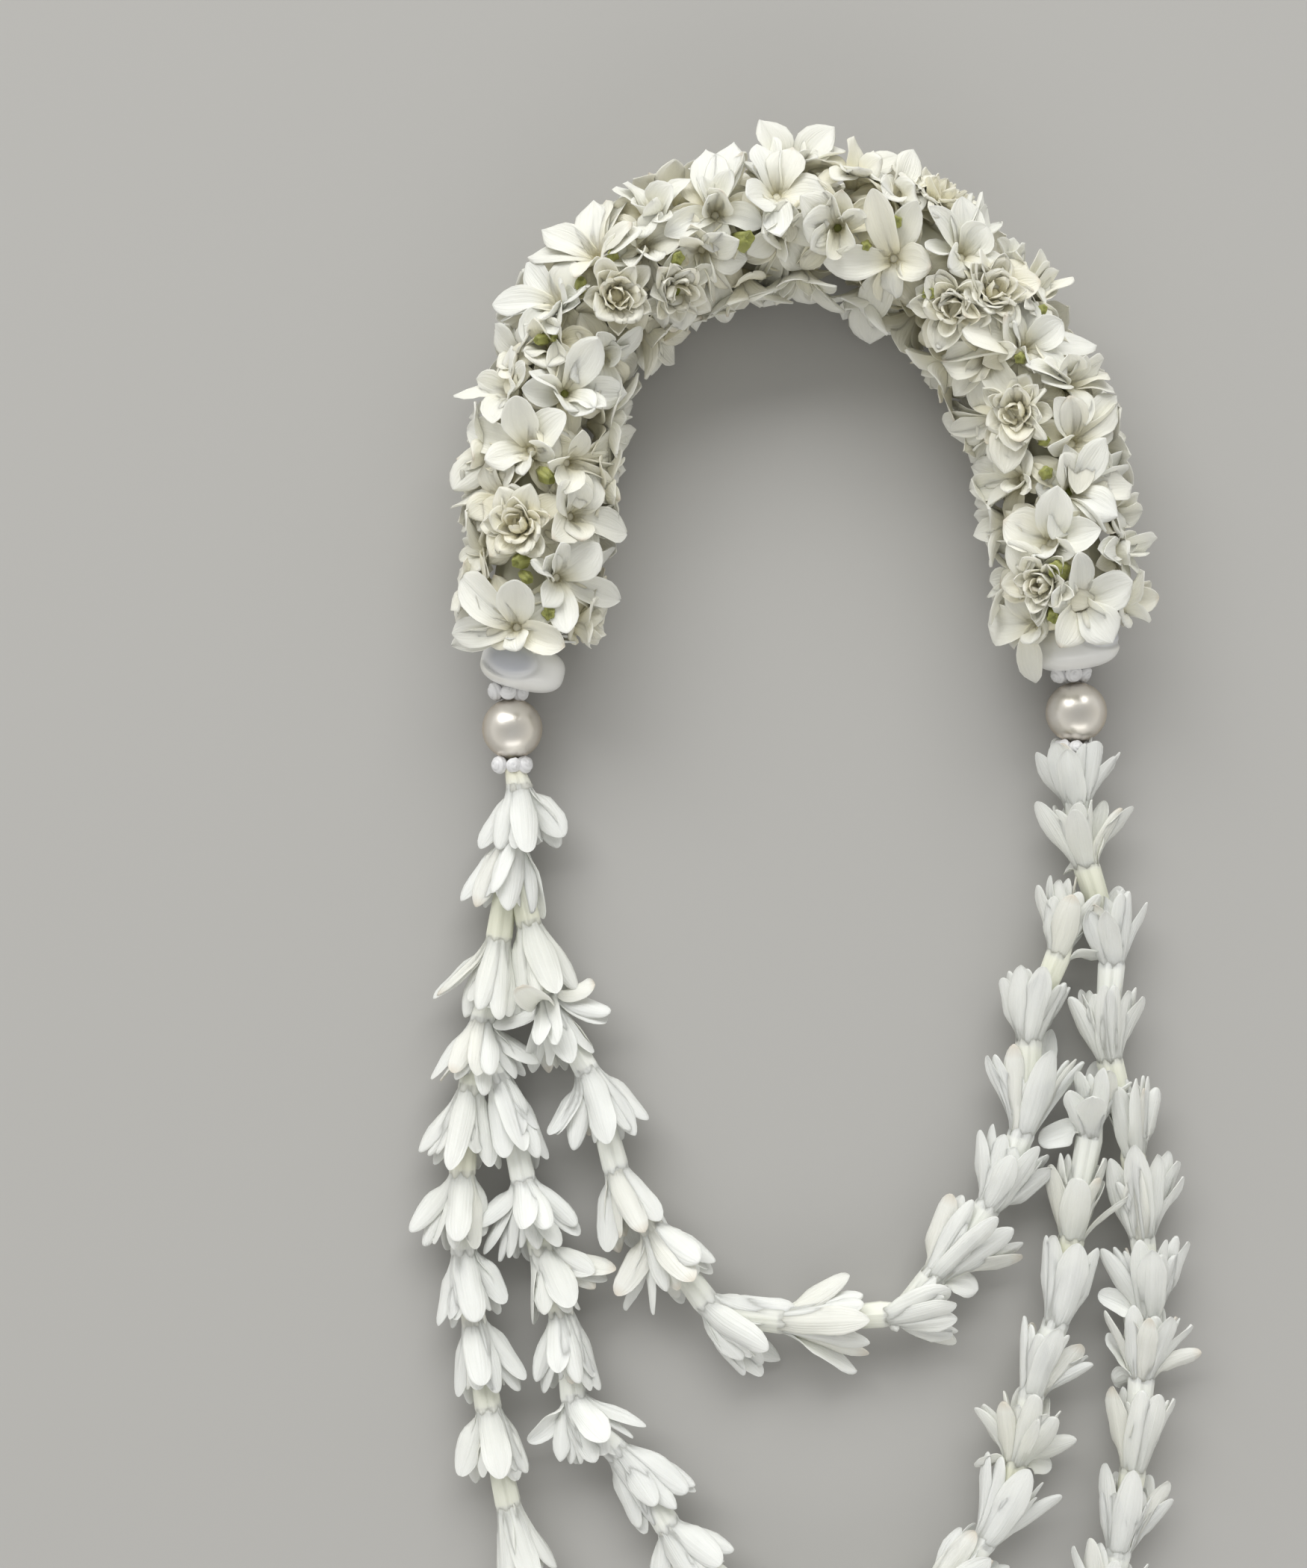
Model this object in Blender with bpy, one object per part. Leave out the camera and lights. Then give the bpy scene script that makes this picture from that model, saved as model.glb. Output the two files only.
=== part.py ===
# A lei of threaded white blooms, lying flat. A thick arch garland of packed blooms ends on each
# side in a shell, a ring of small shells, a pearl and a second ring. Three nested loops of blooms
# strung end to end hang from the two ends.
import math
import random

import bmesh
import bpy
from mathutils import Matrix, Vector

# Scale. Places are pixels of a 1750 x 2100 view from straight above, turned into metres by spot().
PIXEL_SIZE = 0.0002           # one pixel, at the height of the loops' thread
VIEW_CENTRE = (875, 1050)     # the pixel under the eye
EYE = Vector((-0.04144, 0.05669, 0.600))
CLEARANCE = 0.0003            # between pieces that rest on each other

# Threads
THREAD_RADIUS = 0.00035
THREAD_START = 0.0012         # a thread's end, from the point where threads meet
BRANCH_START = 0.0034         # the same for a branch, clear of the thread that it leaves
BORE_RADIUS = 0.0012
BORE_SIDES = 3
BORE_EXTRA = 0.0008           # how far a bore runs past its thread's end
THREAD_STEP = 11              # the garland's thread takes every so many of its axis points
LOOP_HEIGHT = 0.0095          # the loops' thread above the surface

# A bloom: a five-sided tube that ends in a collar, with a petal on each side of the collar
SIDES = 5
TUBE_FOOT = 0.0026
COLLAR_RADIUS = 0.0046
COLLAR_HEIGHT = 0.0014
MOUTH_SHARE = 0.65            # the mouth's radius, as a share of the collar's
PETAL_LENGTH = 0.0165
PETAL_WIDTH = 0.0052
PETAL_TIP = 0.0022
PETAL_THICKNESS = 0.0009
# How far a petal opens and how long it is, as shares, until it is clear of its neighbours
PETAL_TRIES = ((1, 1), (0.8, 1), (1.3, 1), (0.6, 1), (0.45, 1), (0.45, 0.8), (0.4, 0.6), (0.4, 0.45))

# Garland
GARLAND_HEIGHT = 0.0200       # its axis above the surface
GARLAND_END_HEIGHT = 0.0165
CORE_RADIUS = 0.0085
CORE_SIDES = 8
CORE_ROOM = 0.0012            # that petals keep from the core
SLAB_MARGIN = 0.0008          # that collars keep from the ends of their stretch of core
THROAT_RADIUS = 0.0135        # from the garland's axis to the mouths of its blooms
GARLAND_PARTS = 10
BLOOM_SPACING = 0.0142
GARLAND_PETAL = 0.0150
GARLAND_PETAL_WIDTH = 0.0078  # wider than life, so that five petals a bloom still cover it
ROSE_HEART = 0.0024           # the cup of small petals in the middle of a fuller bloom

# The surface
FLOOR_DIP = -0.0017           # how far a resting petal may dip before the surface trims it flat
LOOP_FLOOR = 0.0005           # how low the other petals of the loops may reach

# Pearls, shells and rings
PEARL_RADIUS = 0.0081
SHELL_SIZE = Vector((0.0226, 0.0125, 0.0200))
BEAD_RADIUS = 0.0022
BEAD_LENGTH = 0.0036          # along the string
BEAD_COUNT = 6
RING_RADIUS = 0.0036
ORNAMENT_HEIGHT = 0.0082      # the thread above the surface at pearls and rings

# The garland's axis, from the left shell round to the right shell
GARLAND_AXIS = [
    (704, 856), (710, 800), (718, 740), (723, 680), (728, 620), (736, 560), (752, 500),
    (780, 440), (828, 380), (900, 335), (980, 308), (1062, 297), (1140, 306), (1205, 332),
    (1264, 375), (1312, 428), (1355, 488), (1388, 552), (1404, 620), (1416, 680),
    (1426, 740), (1430, 785), (1430, 828),
]

# Mouths of the blooms that show from above: (x, y, how far the petals open in degrees, kind)
STAR = "star"
HALF = "half"
ROSE = "rose"
SIDE = "side"                 # placed by rule round the sides that the view doesn't show
BLOOMS_ON_TOP = [
    (690, 842, STAR), (748, 775, STAR), (698, 705, ROSE), (640, 790, HALF), (640, 735, HALF),
    (668, 668, HALF), (768, 690, STAR), (708, 600, STAR), (648, 600, HALF), (765, 618, HALF),
    (758, 522, STAR), (680, 525, HALF), (735, 470, HALF), (690, 480, HALF), (748, 402, STAR),
    (825, 395, ROSE), (808, 478, STAR), (795, 345, STAR), (862, 330, HALF), (878, 285, STAR),
    (905, 385, ROSE), (955, 285, STAR), (940, 338, HALF), (1035, 260, STAR), (1065, 220, HALF),
    (1045, 310, HALF), (1125, 305, STAR), (1145, 235, HALF), (1193, 345, STAR),
    (1205, 262, HALF), (1262, 268, ROSE), (1290, 340, STAR), (1280, 412, ROSE),
    (1325, 392, ROSE), (1352, 362, HALF), (1395, 385, HALF), (1372, 462, STAR),
    (1325, 478, HALF), (1365, 555, ROSE), (1432, 510, STAR), (1440, 592, STAR),
    (1335, 562, HALF), (1435, 655, STAR), (1362, 640, HALF), (1408, 728, STAR),
    (1345, 700, HALF), (1495, 735, HALF), (1400, 785, ROSE), (1447, 803, STAR),
    (1350, 775, HALF), (1505, 805, HALF), (1375, 832, HALF), (1488, 690, HALF),
]
OPENING = {STAR: 66, HALF: 42, ROSE: 52, SIDE: 50}

# The loops: each bloom's mouth in the order of the string, with how far its petals open
OUTER_LOOP = [
    (697, 1062, 30), (685, 1140, 32), (665, 1278, 46), (643, 1385, 62), (628, 1475, 36),
    (617, 1590, 34), (622, 1695, 32), (638, 1788, 30), (657, 1905, 34), (685, 2035, 32),
    (722, 2142, 32), (775, 2245, 30), (845, 2330, 34), (935, 2395, 30), (1040, 2430, 32),
    (1150, 2430, 30), (1260, 2405, 34), (1355, 2345, 30), (1430, 2255, 32), (1478, 2158, 32),
    (1502, 2060, 32), (1520, 1950, 30), (1530, 1825, 52), (1540, 1745, 32), (1527, 1640, 32),
    (1515, 1530, 34), (1480, 1400, 34), (1490, 1270, 34), (1448, 1140, 44), (1440, 1060, 26),
]
MIDDLE_LOOP = [
    (675, 1460, 32), (705, 1600, 46), (730, 1690, 34), (757, 1775, 30), (770, 1890, 44),
    (838, 1955, 30), (905, 2060, 34), (985, 2135, 30), (1095, 2170, 32), (1195, 2165, 30),
    (1265, 2125, 32), (1330, 2050, 32), (1365, 1940, 60), (1385, 1850, 32), (1420, 1755, 30),
    (1437, 1640, 34), (1463, 1500, 62),
]
INNER_LOOP = [
    (712, 1255, 34), (740, 1352, 66), (795, 1450, 30), (830, 1585, 32), (882, 1658, 50),
    (957, 1760, 32), (1065, 1770, 34), (1205, 1758, 34), (1262, 1695, 30), (1335, 1600, 32),
    (1375, 1500, 32), (1378, 1375, 32), (1425, 1260, 32),
]
STRING_START = (690, 1035)    # the foot of the first bloom, under the left pearl's lower ring

# How the loops are shared out among their pieces. At each fork on the left, a branch grows from
# the mouth of a bloom: the piece's name, then the loop, first and last bloom of each of its runs.
OUTER = "outer"
MIDDLE = "middle"
INNER = "inner"
FORKED_PIECES = [
    ("left_head", [(OUTER, 0, 2), (INNER, 0, 0)]),
    ("left_fork", [(OUTER, 3, 4), (MIDDLE, 0, 0)]),
]
# The rest of each loop: its first and last bloom, and how many pieces share them
LOOP_RUNS = [(OUTER, 5, 29, 12), (MIDDLE, 1, 16, 8), (INNER, 1, 12, 6)]
RESTING_PIECES = ("outer_blooms_4", "outer_blooms_5", "outer_blooms_6", "outer_blooms_7")
# Where each loop leaves the string on the left and comes back to it on the right
LOOP_ENDS = {MIDDLE: (3, 26), INNER: (1, 28)}
BRANCH_DEPTH = 0.04           # how far a branch starts inside a mouth, as a share of its tube

# Ornaments along the string at each end, from the garland down
LEFT_SHELL = (703, 886)
LEFT_PEARL = (686, 976)
LEFT_RINGS = [(680, 928), (686, 1023)]
RIGHT_SHELL = (1432, 861)
RIGHT_PEARL = (1441, 954)
RIGHT_RINGS = [(1434, 904), (1438, 1002)]
SHELL_TURN = {"left": -18, "right": 8}      # degrees, seen from above
SHELL_HEIGHT = 0.0112


# Places and frames

def spot(pixel_x, pixel_y, height):
    # A pixel's place at a height, as the eye sees it.
    scale = PIXEL_SIZE * (EYE.z - height) / (EYE.z - LOOP_HEIGHT)
    return Vector((EYE.x + (pixel_x - VIEW_CENTRE[0]) * scale,
                   EYE.y + (VIEW_CENTRE[1] - pixel_y) * scale, height))


def frame_at(place, direction):
    # Axes at a place, with Z along the direction and X as near upright as it can be.
    forward = direction.normalized()
    side = forward.cross(Vector((0, 0, 1)))
    if side.length < 0.05:
        side = forward.cross(Vector((0, 1, 0)))
    side.normalize()
    up = side.cross(forward)
    frame = Matrix((up, side, forward)).transposed().to_4x4()
    frame.translation = place
    return frame


def smooth_curve(points, step):
    # Points about a step apart on a smooth curve through the given ones.
    padded = [points[0] * 2 - points[1]] + points + [points[-1] * 2 - points[-2]]
    fine = []
    for before, start, end, after in zip(padded, padded[1:], padded[2:], padded[3:]):
        count = max(2, round((end - start).length / 0.001))
        for index in range(count):
            t = index / count
            fine.append(0.5 * (2 * start + (end - before) * t
                               + (2 * before - 5 * start + 4 * end - after) * t ** 2
                               + (3 * start - before - 3 * end + after) * t ** 3))
    fine.append(points[-1])
    lengths = [0]
    for start, end in zip(fine, fine[1:]):
        lengths.append(lengths[-1] + (end - start).length)
    count = round(lengths[-1] / step)
    result = []
    index = 0
    for number in range(count + 1):
        target = lengths[-1] * number / count
        while index < len(fine) - 2 and lengths[index + 1] < target:
            index += 1
        share = (target - lengths[index]) / (lengths[index + 1] - lengths[index])
        result.append(fine[index].lerp(fine[index + 1], share))
    return result


def gap_to_line(point, start, end):
    along = end - start
    share = max(0, min(1, (point - start).dot(along) / along.length_squared))
    return (point - start - along * share).length


# Meshes

def stub(bm, first, first_radius, last, last_radius, sides):
    # A closed tapered tube between two frames. Returns its far cap.
    made = bmesh.ops.create_cone(bm, cap_ends=True, segments=sides, radius1=first_radius,
                                 radius2=last_radius, depth=2)["verts"]
    far = [vert for vert in made if vert.co.z > 0]
    cap = next(face for face in far[0].link_faces if all(vert in far for vert in face.verts))
    for vert in made:
        frame = last if vert.co.z > 0 else first
        vert.co = frame @ Vector((vert.co.x, vert.co.y, 0))
    return cap


def grow(bm, face, old, new, scale=1.0):
    # Extrudes a cap from its old frame to a new one, scaled. Returns the new cap.
    grown = bmesh.ops.extrude_discrete_faces(bm, faces=[face])["faces"][0]
    back = old.inverted()
    for vert in grown.verts:
        flat = back @ vert.co
        vert.co = new @ Vector((flat.x * scale, flat.y * scale, 0))
    return grown


def grow_blade(bm, face, old, new, width, thickness):
    # Extrudes a four-sided face into a blade's next section, of a given width and thickness.
    grown = bmesh.ops.extrude_discrete_faces(bm, faces=[face])["faces"][0]
    back = old.inverted()
    for vert in grown.verts:
        flat = back @ vert.co
        vert.co = new @ Vector((math.copysign(width / 2, flat.x),
                                math.copysign(thickness / 2, flat.y), 0))
    return grown


def section(tangent, out, axis, place, opening):
    # A frame across a petal: X over its width, Y through its thickness, Z along it.
    forward = out * math.sin(opening) + axis * math.cos(opening)
    frame = Matrix((tangent, tangent.cross(forward) * -1, forward)).transposed().to_4x4()
    frame.translation = place
    return frame


def add_petal(bm, face, mouth, petal, is_free):
    # Grows a petal out of one side of a collar, closed up until it is clear of its neighbours.
    axis = mouth.col[2].to_3d()
    centre = face.calc_center_median()
    out = (centre - mouth.translation)
    out = (out - axis * out.dot(axis)).normalized()
    tangent = axis.cross(out)
    root = section(tangent, out, axis, centre, math.pi / 2)
    for change, shortening in PETAL_TRIES:
        opening = math.radians(petal["opening"] * change)
        length = petal["length"] * shortening
        lower = section(tangent, out, axis, centre, opening * 0.75)
        middle = section(tangent, out, axis, centre, opening)
        tip = section(tangent, out, axis, centre, opening * 1.2)
        middle.translation = centre + lower.col[2].to_3d() * length * 0.55
        tip.translation = middle.translation + tip.col[2].to_3d() * length * 0.45
        # A closed petal is narrower, so that it stays beside the next one.
        reach = ((middle.translation - mouth.translation).dot(out)
                 - PETAL_THICKNESS / 2 * math.cos(opening))
        width = min(petal["width"], 2 * math.tan(math.pi / SIDES) * reach - CLEARANCE)
        half_width = middle.col[0].to_3d() * width / 2
        half_tip = tip.col[0].to_3d() * PETAL_TIP / 2
        half_thickness = middle.col[1].to_3d() * PETAL_THICKNESS / 2
        ends = [middle.translation + half_width + half_thickness,
                middle.translation + half_width - half_thickness,
                middle.translation - half_width + half_thickness,
                middle.translation - half_width - half_thickness,
                tip.translation + half_tip, tip.translation - half_tip]
        if all(is_free(point) for point in ends):
            blade = grow_blade(bm, face, root, middle, width, PETAL_THICKNESS)
            grow_blade(bm, blade, middle, tip, PETAL_TIP, 0)
            return


def add_collar(bm, cap, neck, mouth, petal, is_free):
    # A collar that narrows to the mouth of a tube, and its petals. Returns the mouth's face.
    before = set(bm.faces)
    top = grow(bm, cap, neck, mouth, MOUTH_SHARE)
    sides = [face for face in bm.faces if face not in before and face is not top]
    sides.sort(key=lambda face: face.calc_center_median().z)
    for face in sides[petal.get("left_out", 0):]:
        add_petal(bm, face, mouth, petal, is_free)
    return top


def mesh_object(name, bm, material):
    bmesh.ops.remove_doubles(bm, verts=bm.verts, dist=1e-6)
    bmesh.ops.triangulate(bm, faces=bm.faces)
    bmesh.ops.recalc_face_normals(bm, faces=bm.faces)
    mesh = bpy.data.meshes.new(name)
    bm.to_mesh(mesh)
    bm.free()
    piece = bpy.data.objects.new(name, mesh)
    if material:
        mesh.materials.append(material)
    lei.objects.link(piece)
    return piece


def island_volume(faces):
    total = 0
    for face in faces:
        first, second, third = (vert.co for vert in face.verts)
        total += first.dot(second.cross(third)) / 6
    return total


def apply_modifiers(piece):
    # Turns the evaluated shape into the mesh, and keeps only its main body without sealed hollows.
    graph = bpy.context.evaluated_depsgraph_get()
    mesh = bpy.data.meshes.new_from_object(piece.evaluated_get(graph))
    piece.modifiers.clear()
    bm = bmesh.new()
    bm.from_mesh(mesh)
    bmesh.ops.triangulate(bm, faces=bm.faces)
    islands = []
    left = set(bm.faces)
    while left:
        island = [left.pop()]
        for face in island:
            for edge in face.edges:
                for other in edge.link_faces:
                    if other in left:
                        left.remove(other)
                        island.append(other)
        islands.append(island)
    islands.sort(key=island_volume)
    for island in islands[:-1]:
        bmesh.ops.delete(bm, geom=island, context="FACES")
    bm.to_mesh(mesh)
    bm.free()
    piece.data = mesh


def boolean(piece, operation, other, solver="EXACT"):
    modifier = piece.modifiers.new(operation.lower(), "BOOLEAN")
    modifier.operation = operation
    modifier.solver = solver
    if isinstance(other, bpy.types.Collection):
        modifier.operand_type = "COLLECTION"
        modifier.collection = other
    else:
        modifier.object = other


def fuse(name, pieces):
    # Joins pieces into the first one, which takes the name.
    main = pieces[0]
    group = bpy.data.collections.new("to_fuse")
    bpy.context.scene.collection.children.link(group)
    for piece in pieces[1:]:
        lei.objects.unlink(piece)
        group.objects.link(piece)
    boolean(main, "UNION", group, "MANIFOLD")
    apply_modifiers(main)
    for piece in pieces[1:]:
        bpy.data.objects.remove(piece)
    bpy.data.collections.remove(group)
    main.name = name
    return main


def box_of(piece):
    corners = [piece.matrix_world @ Vector(corner) for corner in piece.bound_box]
    low = Vector([min(corner[axis] for corner in corners) for axis in range(3)])
    high = Vector([max(corner[axis] for corner in corners) for axis in range(3)])
    return low, high


def material(name, colour, roughness, coat=0.0):
    made = bpy.data.materials.new(name)
    made.use_nodes = True
    shader = made.node_tree.nodes["Principled BSDF"]
    shader.inputs["Base Color"].default_value = (*colour, 1)
    shader.inputs["Roughness"].default_value = roughness
    shader.inputs["Metallic"].default_value = 0
    shader.inputs["Coat Weight"].default_value = coat
    return made


# Threads

def shortened(points, trim):
    # The route with a length taken off each end.
    first = points[0] + (points[1] - points[0]).normalized() * trim
    last = points[-1] + (points[-2] - points[-1]).normalized() * trim
    return [first] + points[1:-1] + [last]


def thread(name, points):
    curve = bpy.data.curves.new(name, "CURVE")
    curve.dimensions = "3D"
    curve.bevel_depth = THREAD_RADIUS
    curve.bevel_resolution = 0
    curve.use_fill_caps = True
    spline = curve.splines.new("POLY")
    spline.points.add(len(points) - 1)
    for target, point in zip(spline.points, points):
        target.co = (*point, 1)
    curve.materials.append(thread_material)
    piece = bpy.data.objects.new(name, curve)
    lei.objects.link(piece)
    return piece


def bore_cutter(name, points):
    # A three-sided bar that follows a thread and runs a little past both its ends.
    route = shortened(points, -BORE_EXTRA)
    frames = []
    for index, point in enumerate(route):
        before = route[max(0, index - 1)]
        after = route[min(len(route) - 1, index + 1)]
        frames.append(frame_at(point, after - before))
    bm = bmesh.new()
    cap = stub(bm, frames[0], BORE_RADIUS, frames[1], BORE_RADIUS, BORE_SIDES)
    for old, new in zip(frames[1:], frames[2:]):
        cap = grow(bm, cap, old, new)
    cutter = mesh_object(name, bm, None)
    lei.objects.unlink(cutter)
    cutters.objects.link(cutter)
    cutter.hide_render = True
    cutter.display_type = "WIRE"
    return cutter


def bore_all(pieces, bores):
    bpy.context.view_layer.update()
    for piece in pieces:
        low, high = box_of(piece)
        for bore in bores:
            bore_low, bore_high = box_of(bore)
            if all(low[i] < bore_high[i] and high[i] > bore_low[i] for i in range(3)):
                boolean(piece, "DIFFERENCE", bore, "MANIFOLD")
        if piece.modifiers:
            apply_modifiers(piece)


# Loops of strung blooms

class Bloom:
    # One bloom of a loop: its tube's foot, its mouth, and the piece that it belongs to.
    def __init__(self, loop, index, foot, mouth, opening):
        self.loop = loop
        self.index = index
        self.foot = foot
        self.mouth = mouth
        self.opening = opening
        self.direction = (mouth - foot).normalized()
        self.facing = self.direction
        self.foot_facing = self.direction
        self.piece = ""


def string_blooms():
    routes = {OUTER: OUTER_LOOP, MIDDLE: MIDDLE_LOOP, INNER: INNER_LOOP}
    starts = {OUTER: STRING_START, MIDDLE: OUTER_LOOP[3][:2], INNER: OUTER_LOOP[1][:2]}
    blooms = {}
    for loop, route in routes.items():
        foot = spot(*starts[loop], LOOP_HEIGHT)
        before = None
        for index, (pixel_x, pixel_y, opening) in enumerate(route):
            mouth = spot(pixel_x, pixel_y, LOOP_HEIGHT)
            bloom = Bloom(loop, index, foot, mouth, opening)
            if before:
                # A mouth faces halfway between its own tube and the next.
                before.facing = (before.direction + bloom.direction).normalized()
                bloom.foot_facing = before.facing
            blooms[loop, index] = bloom
            before = bloom
            foot = mouth
    return blooms


def name_pieces(blooms):
    pieces = list(FORKED_PIECES)
    for loop, first, last, count in LOOP_RUNS:
        total = last - first + 1
        for number in range(count):
            start = first + total * number // count
            end = first + total * (number + 1) // count - 1
            pieces.append((f"{loop}_blooms_{number + 1}", [(loop, start, end)]))
    for name, runs in pieces:
        for loop, first, last in runs:
            for index in range(first, last + 1):
                blooms[loop, index].piece = name
    return pieces


def loop_room(bloom, blooms, floor):
    # Says whether a point is above the floor and nearer to its own loop than to another piece's.
    own = [other for other in blooms.values()
           if other.loop == bloom.loop and abs(other.index - bloom.index) < 3]
    others = [other for other in blooms.values()
              if other.loop != bloom.loop and other.piece != bloom.piece
              and (other.mouth - bloom.mouth).length < 0.06]

    following = blooms.get((bloom.loop, bloom.index + 1))
    ring = spot(*RIGHT_RINGS[1], ORNAMENT_HEIGHT)

    def is_free(point):
        if point.z < floor or (point - ring).length < RING_RADIUS + BEAD_RADIUS + CLEARANCE:
            return False
        if following and gap_to_line(point, following.foot, following.mouth) < COLLAR_RADIUS:
            return False
        near = min(gap_to_line(point, other.foot, other.mouth) for other in own)
        return all(gap_to_line(point, other.foot, other.mouth) > near + CLEARANCE * 2
                   for other in others)
    return is_free


def add_run(run, blooms, floor):
    # A run of strung blooms as one body, each tube growing out of the mouth before it.
    bm = bmesh.new()
    cap = None
    for bloom in run:
        neck = frame_at(bloom.mouth - bloom.facing * COLLAR_HEIGHT, bloom.facing)
        mouth = frame_at(bloom.mouth, bloom.facing)
        if cap is None:
            start = frame_at(bloom.foot + bloom.foot_facing * CLEARANCE, bloom.foot_facing)
            cap = stub(bm, start, TUBE_FOOT, neck, COLLAR_RADIUS, SIDES)
        else:
            # The mouth before narrows to this tube's foot.
            cap = grow(bm, cap, last_mouth, last_mouth, TUBE_FOOT / COLLAR_RADIUS / MOUTH_SHARE)
            cap = grow(bm, cap, last_mouth, neck, COLLAR_RADIUS / TUBE_FOOT)
        petal = {"opening": bloom.opening, "length": PETAL_LENGTH, "width": PETAL_WIDTH}
        cap = add_collar(bm, cap, neck, mouth, petal, loop_room(bloom, blooms, floor))
        last_mouth = mouth
    return mesh_object("run", bm, petal_material)


def make_loops(blooms):
    made = []
    for name, runs in name_pieces(blooms):
        bodies = []
        for loop, first, last in runs:
            run = [blooms[loop, index] for index in range(first, last + 1)]
            if bodies:
                run[0].foot = run[0].foot.lerp(run[0].mouth, -BRANCH_DEPTH)
            floor = FLOOR_DIP if name in RESTING_PIECES else LOOP_FLOOR
            bodies.append(add_run(run, blooms, floor))
        piece = fuse(name, bodies) if len(bodies) > 1 else bodies[0]
        piece.name = name
        if name in RESTING_PIECES:
            boolean(piece, "DIFFERENCE", floor_cutter, "MANIFOLD")
            apply_modifiers(piece)
        made.append(piece)
    return made


# Garland

def garland_line():
    points = []
    for index, (pixel_x, pixel_y) in enumerate(GARLAND_AXIS):
        from_end = min(index, len(GARLAND_AXIS) - 1 - index)
        share = min(1, from_end / 2)
        height = GARLAND_END_HEIGHT + (GARLAND_HEIGHT - GARLAND_END_HEIGHT) * share
        points.append(spot(pixel_x, pixel_y, height))
    return smooth_curve(points, 0.002)


def tangent_at(line, index):
    return (line[min(len(line) - 1, index + 1)] - line[max(0, index - 1)]).normalized()


def seen_mouth(line, pixel_x, pixel_y):
    # Where the line of sight through a pixel first meets the sheath of mouths round the axis.
    best = None
    for step in range(48, 5, -1):
        point = spot(pixel_x, pixel_y, step * 0.001)
        index = min(range(len(line)), key=lambda number: (line[number] - point).length)
        gap = (line[index] - point).length
        if best is None or gap < best[0]:
            best = (gap, point, index)
        if gap <= THROAT_RADIUS:
            break
    gap, point, index = best
    across = point - line[index]
    across -= tangent_at(line, index) * across.dot(tangent_at(line, index))
    return line[index] + across.normalized() * THROAT_RADIUS, index


def garland_mouths(line):
    # The blooms that show, and others by rule wherever they leave a gap round the sides.
    mouths = []
    for pixel_x, pixel_y, kind in BLOOMS_ON_TOP:
        place, index = seen_mouth(line, pixel_x, pixel_y)
        mouths.append((place, index, kind))
    chance = random.Random(7)
    for index in range(3, len(line) - 3, 3):
        frame = frame_at(line[index], tangent_at(line, index))
        for turn in range(12):
            angle = math.tau * (turn + chance.random()) / 12
            around = frame.col[0].to_3d() * math.cos(angle) + frame.col[1].to_3d() * math.sin(angle)
            place = line[index] + around * THROAT_RADIUS
            if around.z < -0.8:
                continue
            if min((place - other[0]).length for other in mouths) > BLOOM_SPACING:
                mouths.append((place, index, SIDE))
    return mouths


def garland_room(line, own_axis, neighbours):
    # Says whether a point is above the surface, outside the core and nearest to its own bloom.
    near_line = [point for point in line if (point - own_axis[0]).length < 0.04]

    def is_free(point):
        if point.z < FLOOR_DIP:
            return False
        if min((point - other).length for other in near_line) < CORE_RADIUS + CORE_ROOM:
            return False
        own = gap_to_line(point, *own_axis)
        return all(own + CLEARANCE < gap_to_line(point, *other) for other in neighbours)
    return is_free


def facing_of(place, centre):
    # A bloom faces out from the garland's axis and never far below the level.
    outward = (place - centre).normalized()
    return Vector((outward.x, outward.y, max(outward.z, -0.25))).normalized()


def add_garland_bloom(place, centre, kind, is_free):
    outward = (place - centre).normalized()
    facing = facing_of(place, centre)
    bm = bmesh.new()
    mouth = frame_at(place, facing)
    neck = frame_at(place - facing * COLLAR_HEIGHT, facing)
    foot = frame_at(centre + outward * CORE_RADIUS * 0.6, facing)
    cap = stub(bm, foot, TUBE_FOOT, neck, COLLAR_RADIUS, SIDES)
    petal = {"opening": OPENING[kind], "length": GARLAND_PETAL, "width": GARLAND_PETAL_WIDTH,
             "left_out": 1 if kind == SIDE else 0}
    cap = add_collar(bm, cap, neck, mouth, petal, is_free)
    if kind == ROSE:
        # A second, smaller cup of petals stands inside the first.
        cap = grow(bm, cap, mouth, mouth, ROSE_HEART / COLLAR_RADIUS)
        inner_neck = frame_at(place + facing * 0.0016, facing)
        cap = grow(bm, cap, mouth, inner_neck)
        inner_mouth = frame_at(place + facing * (0.0016 + COLLAR_HEIGHT), facing)
        inner = {"opening": 20, "length": GARLAND_PETAL * 0.55, "width": PETAL_WIDTH}
        add_collar(bm, cap, inner_neck, inner_mouth, inner, is_free)
    return mesh_object("bloom", bm, petal_material)


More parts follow.
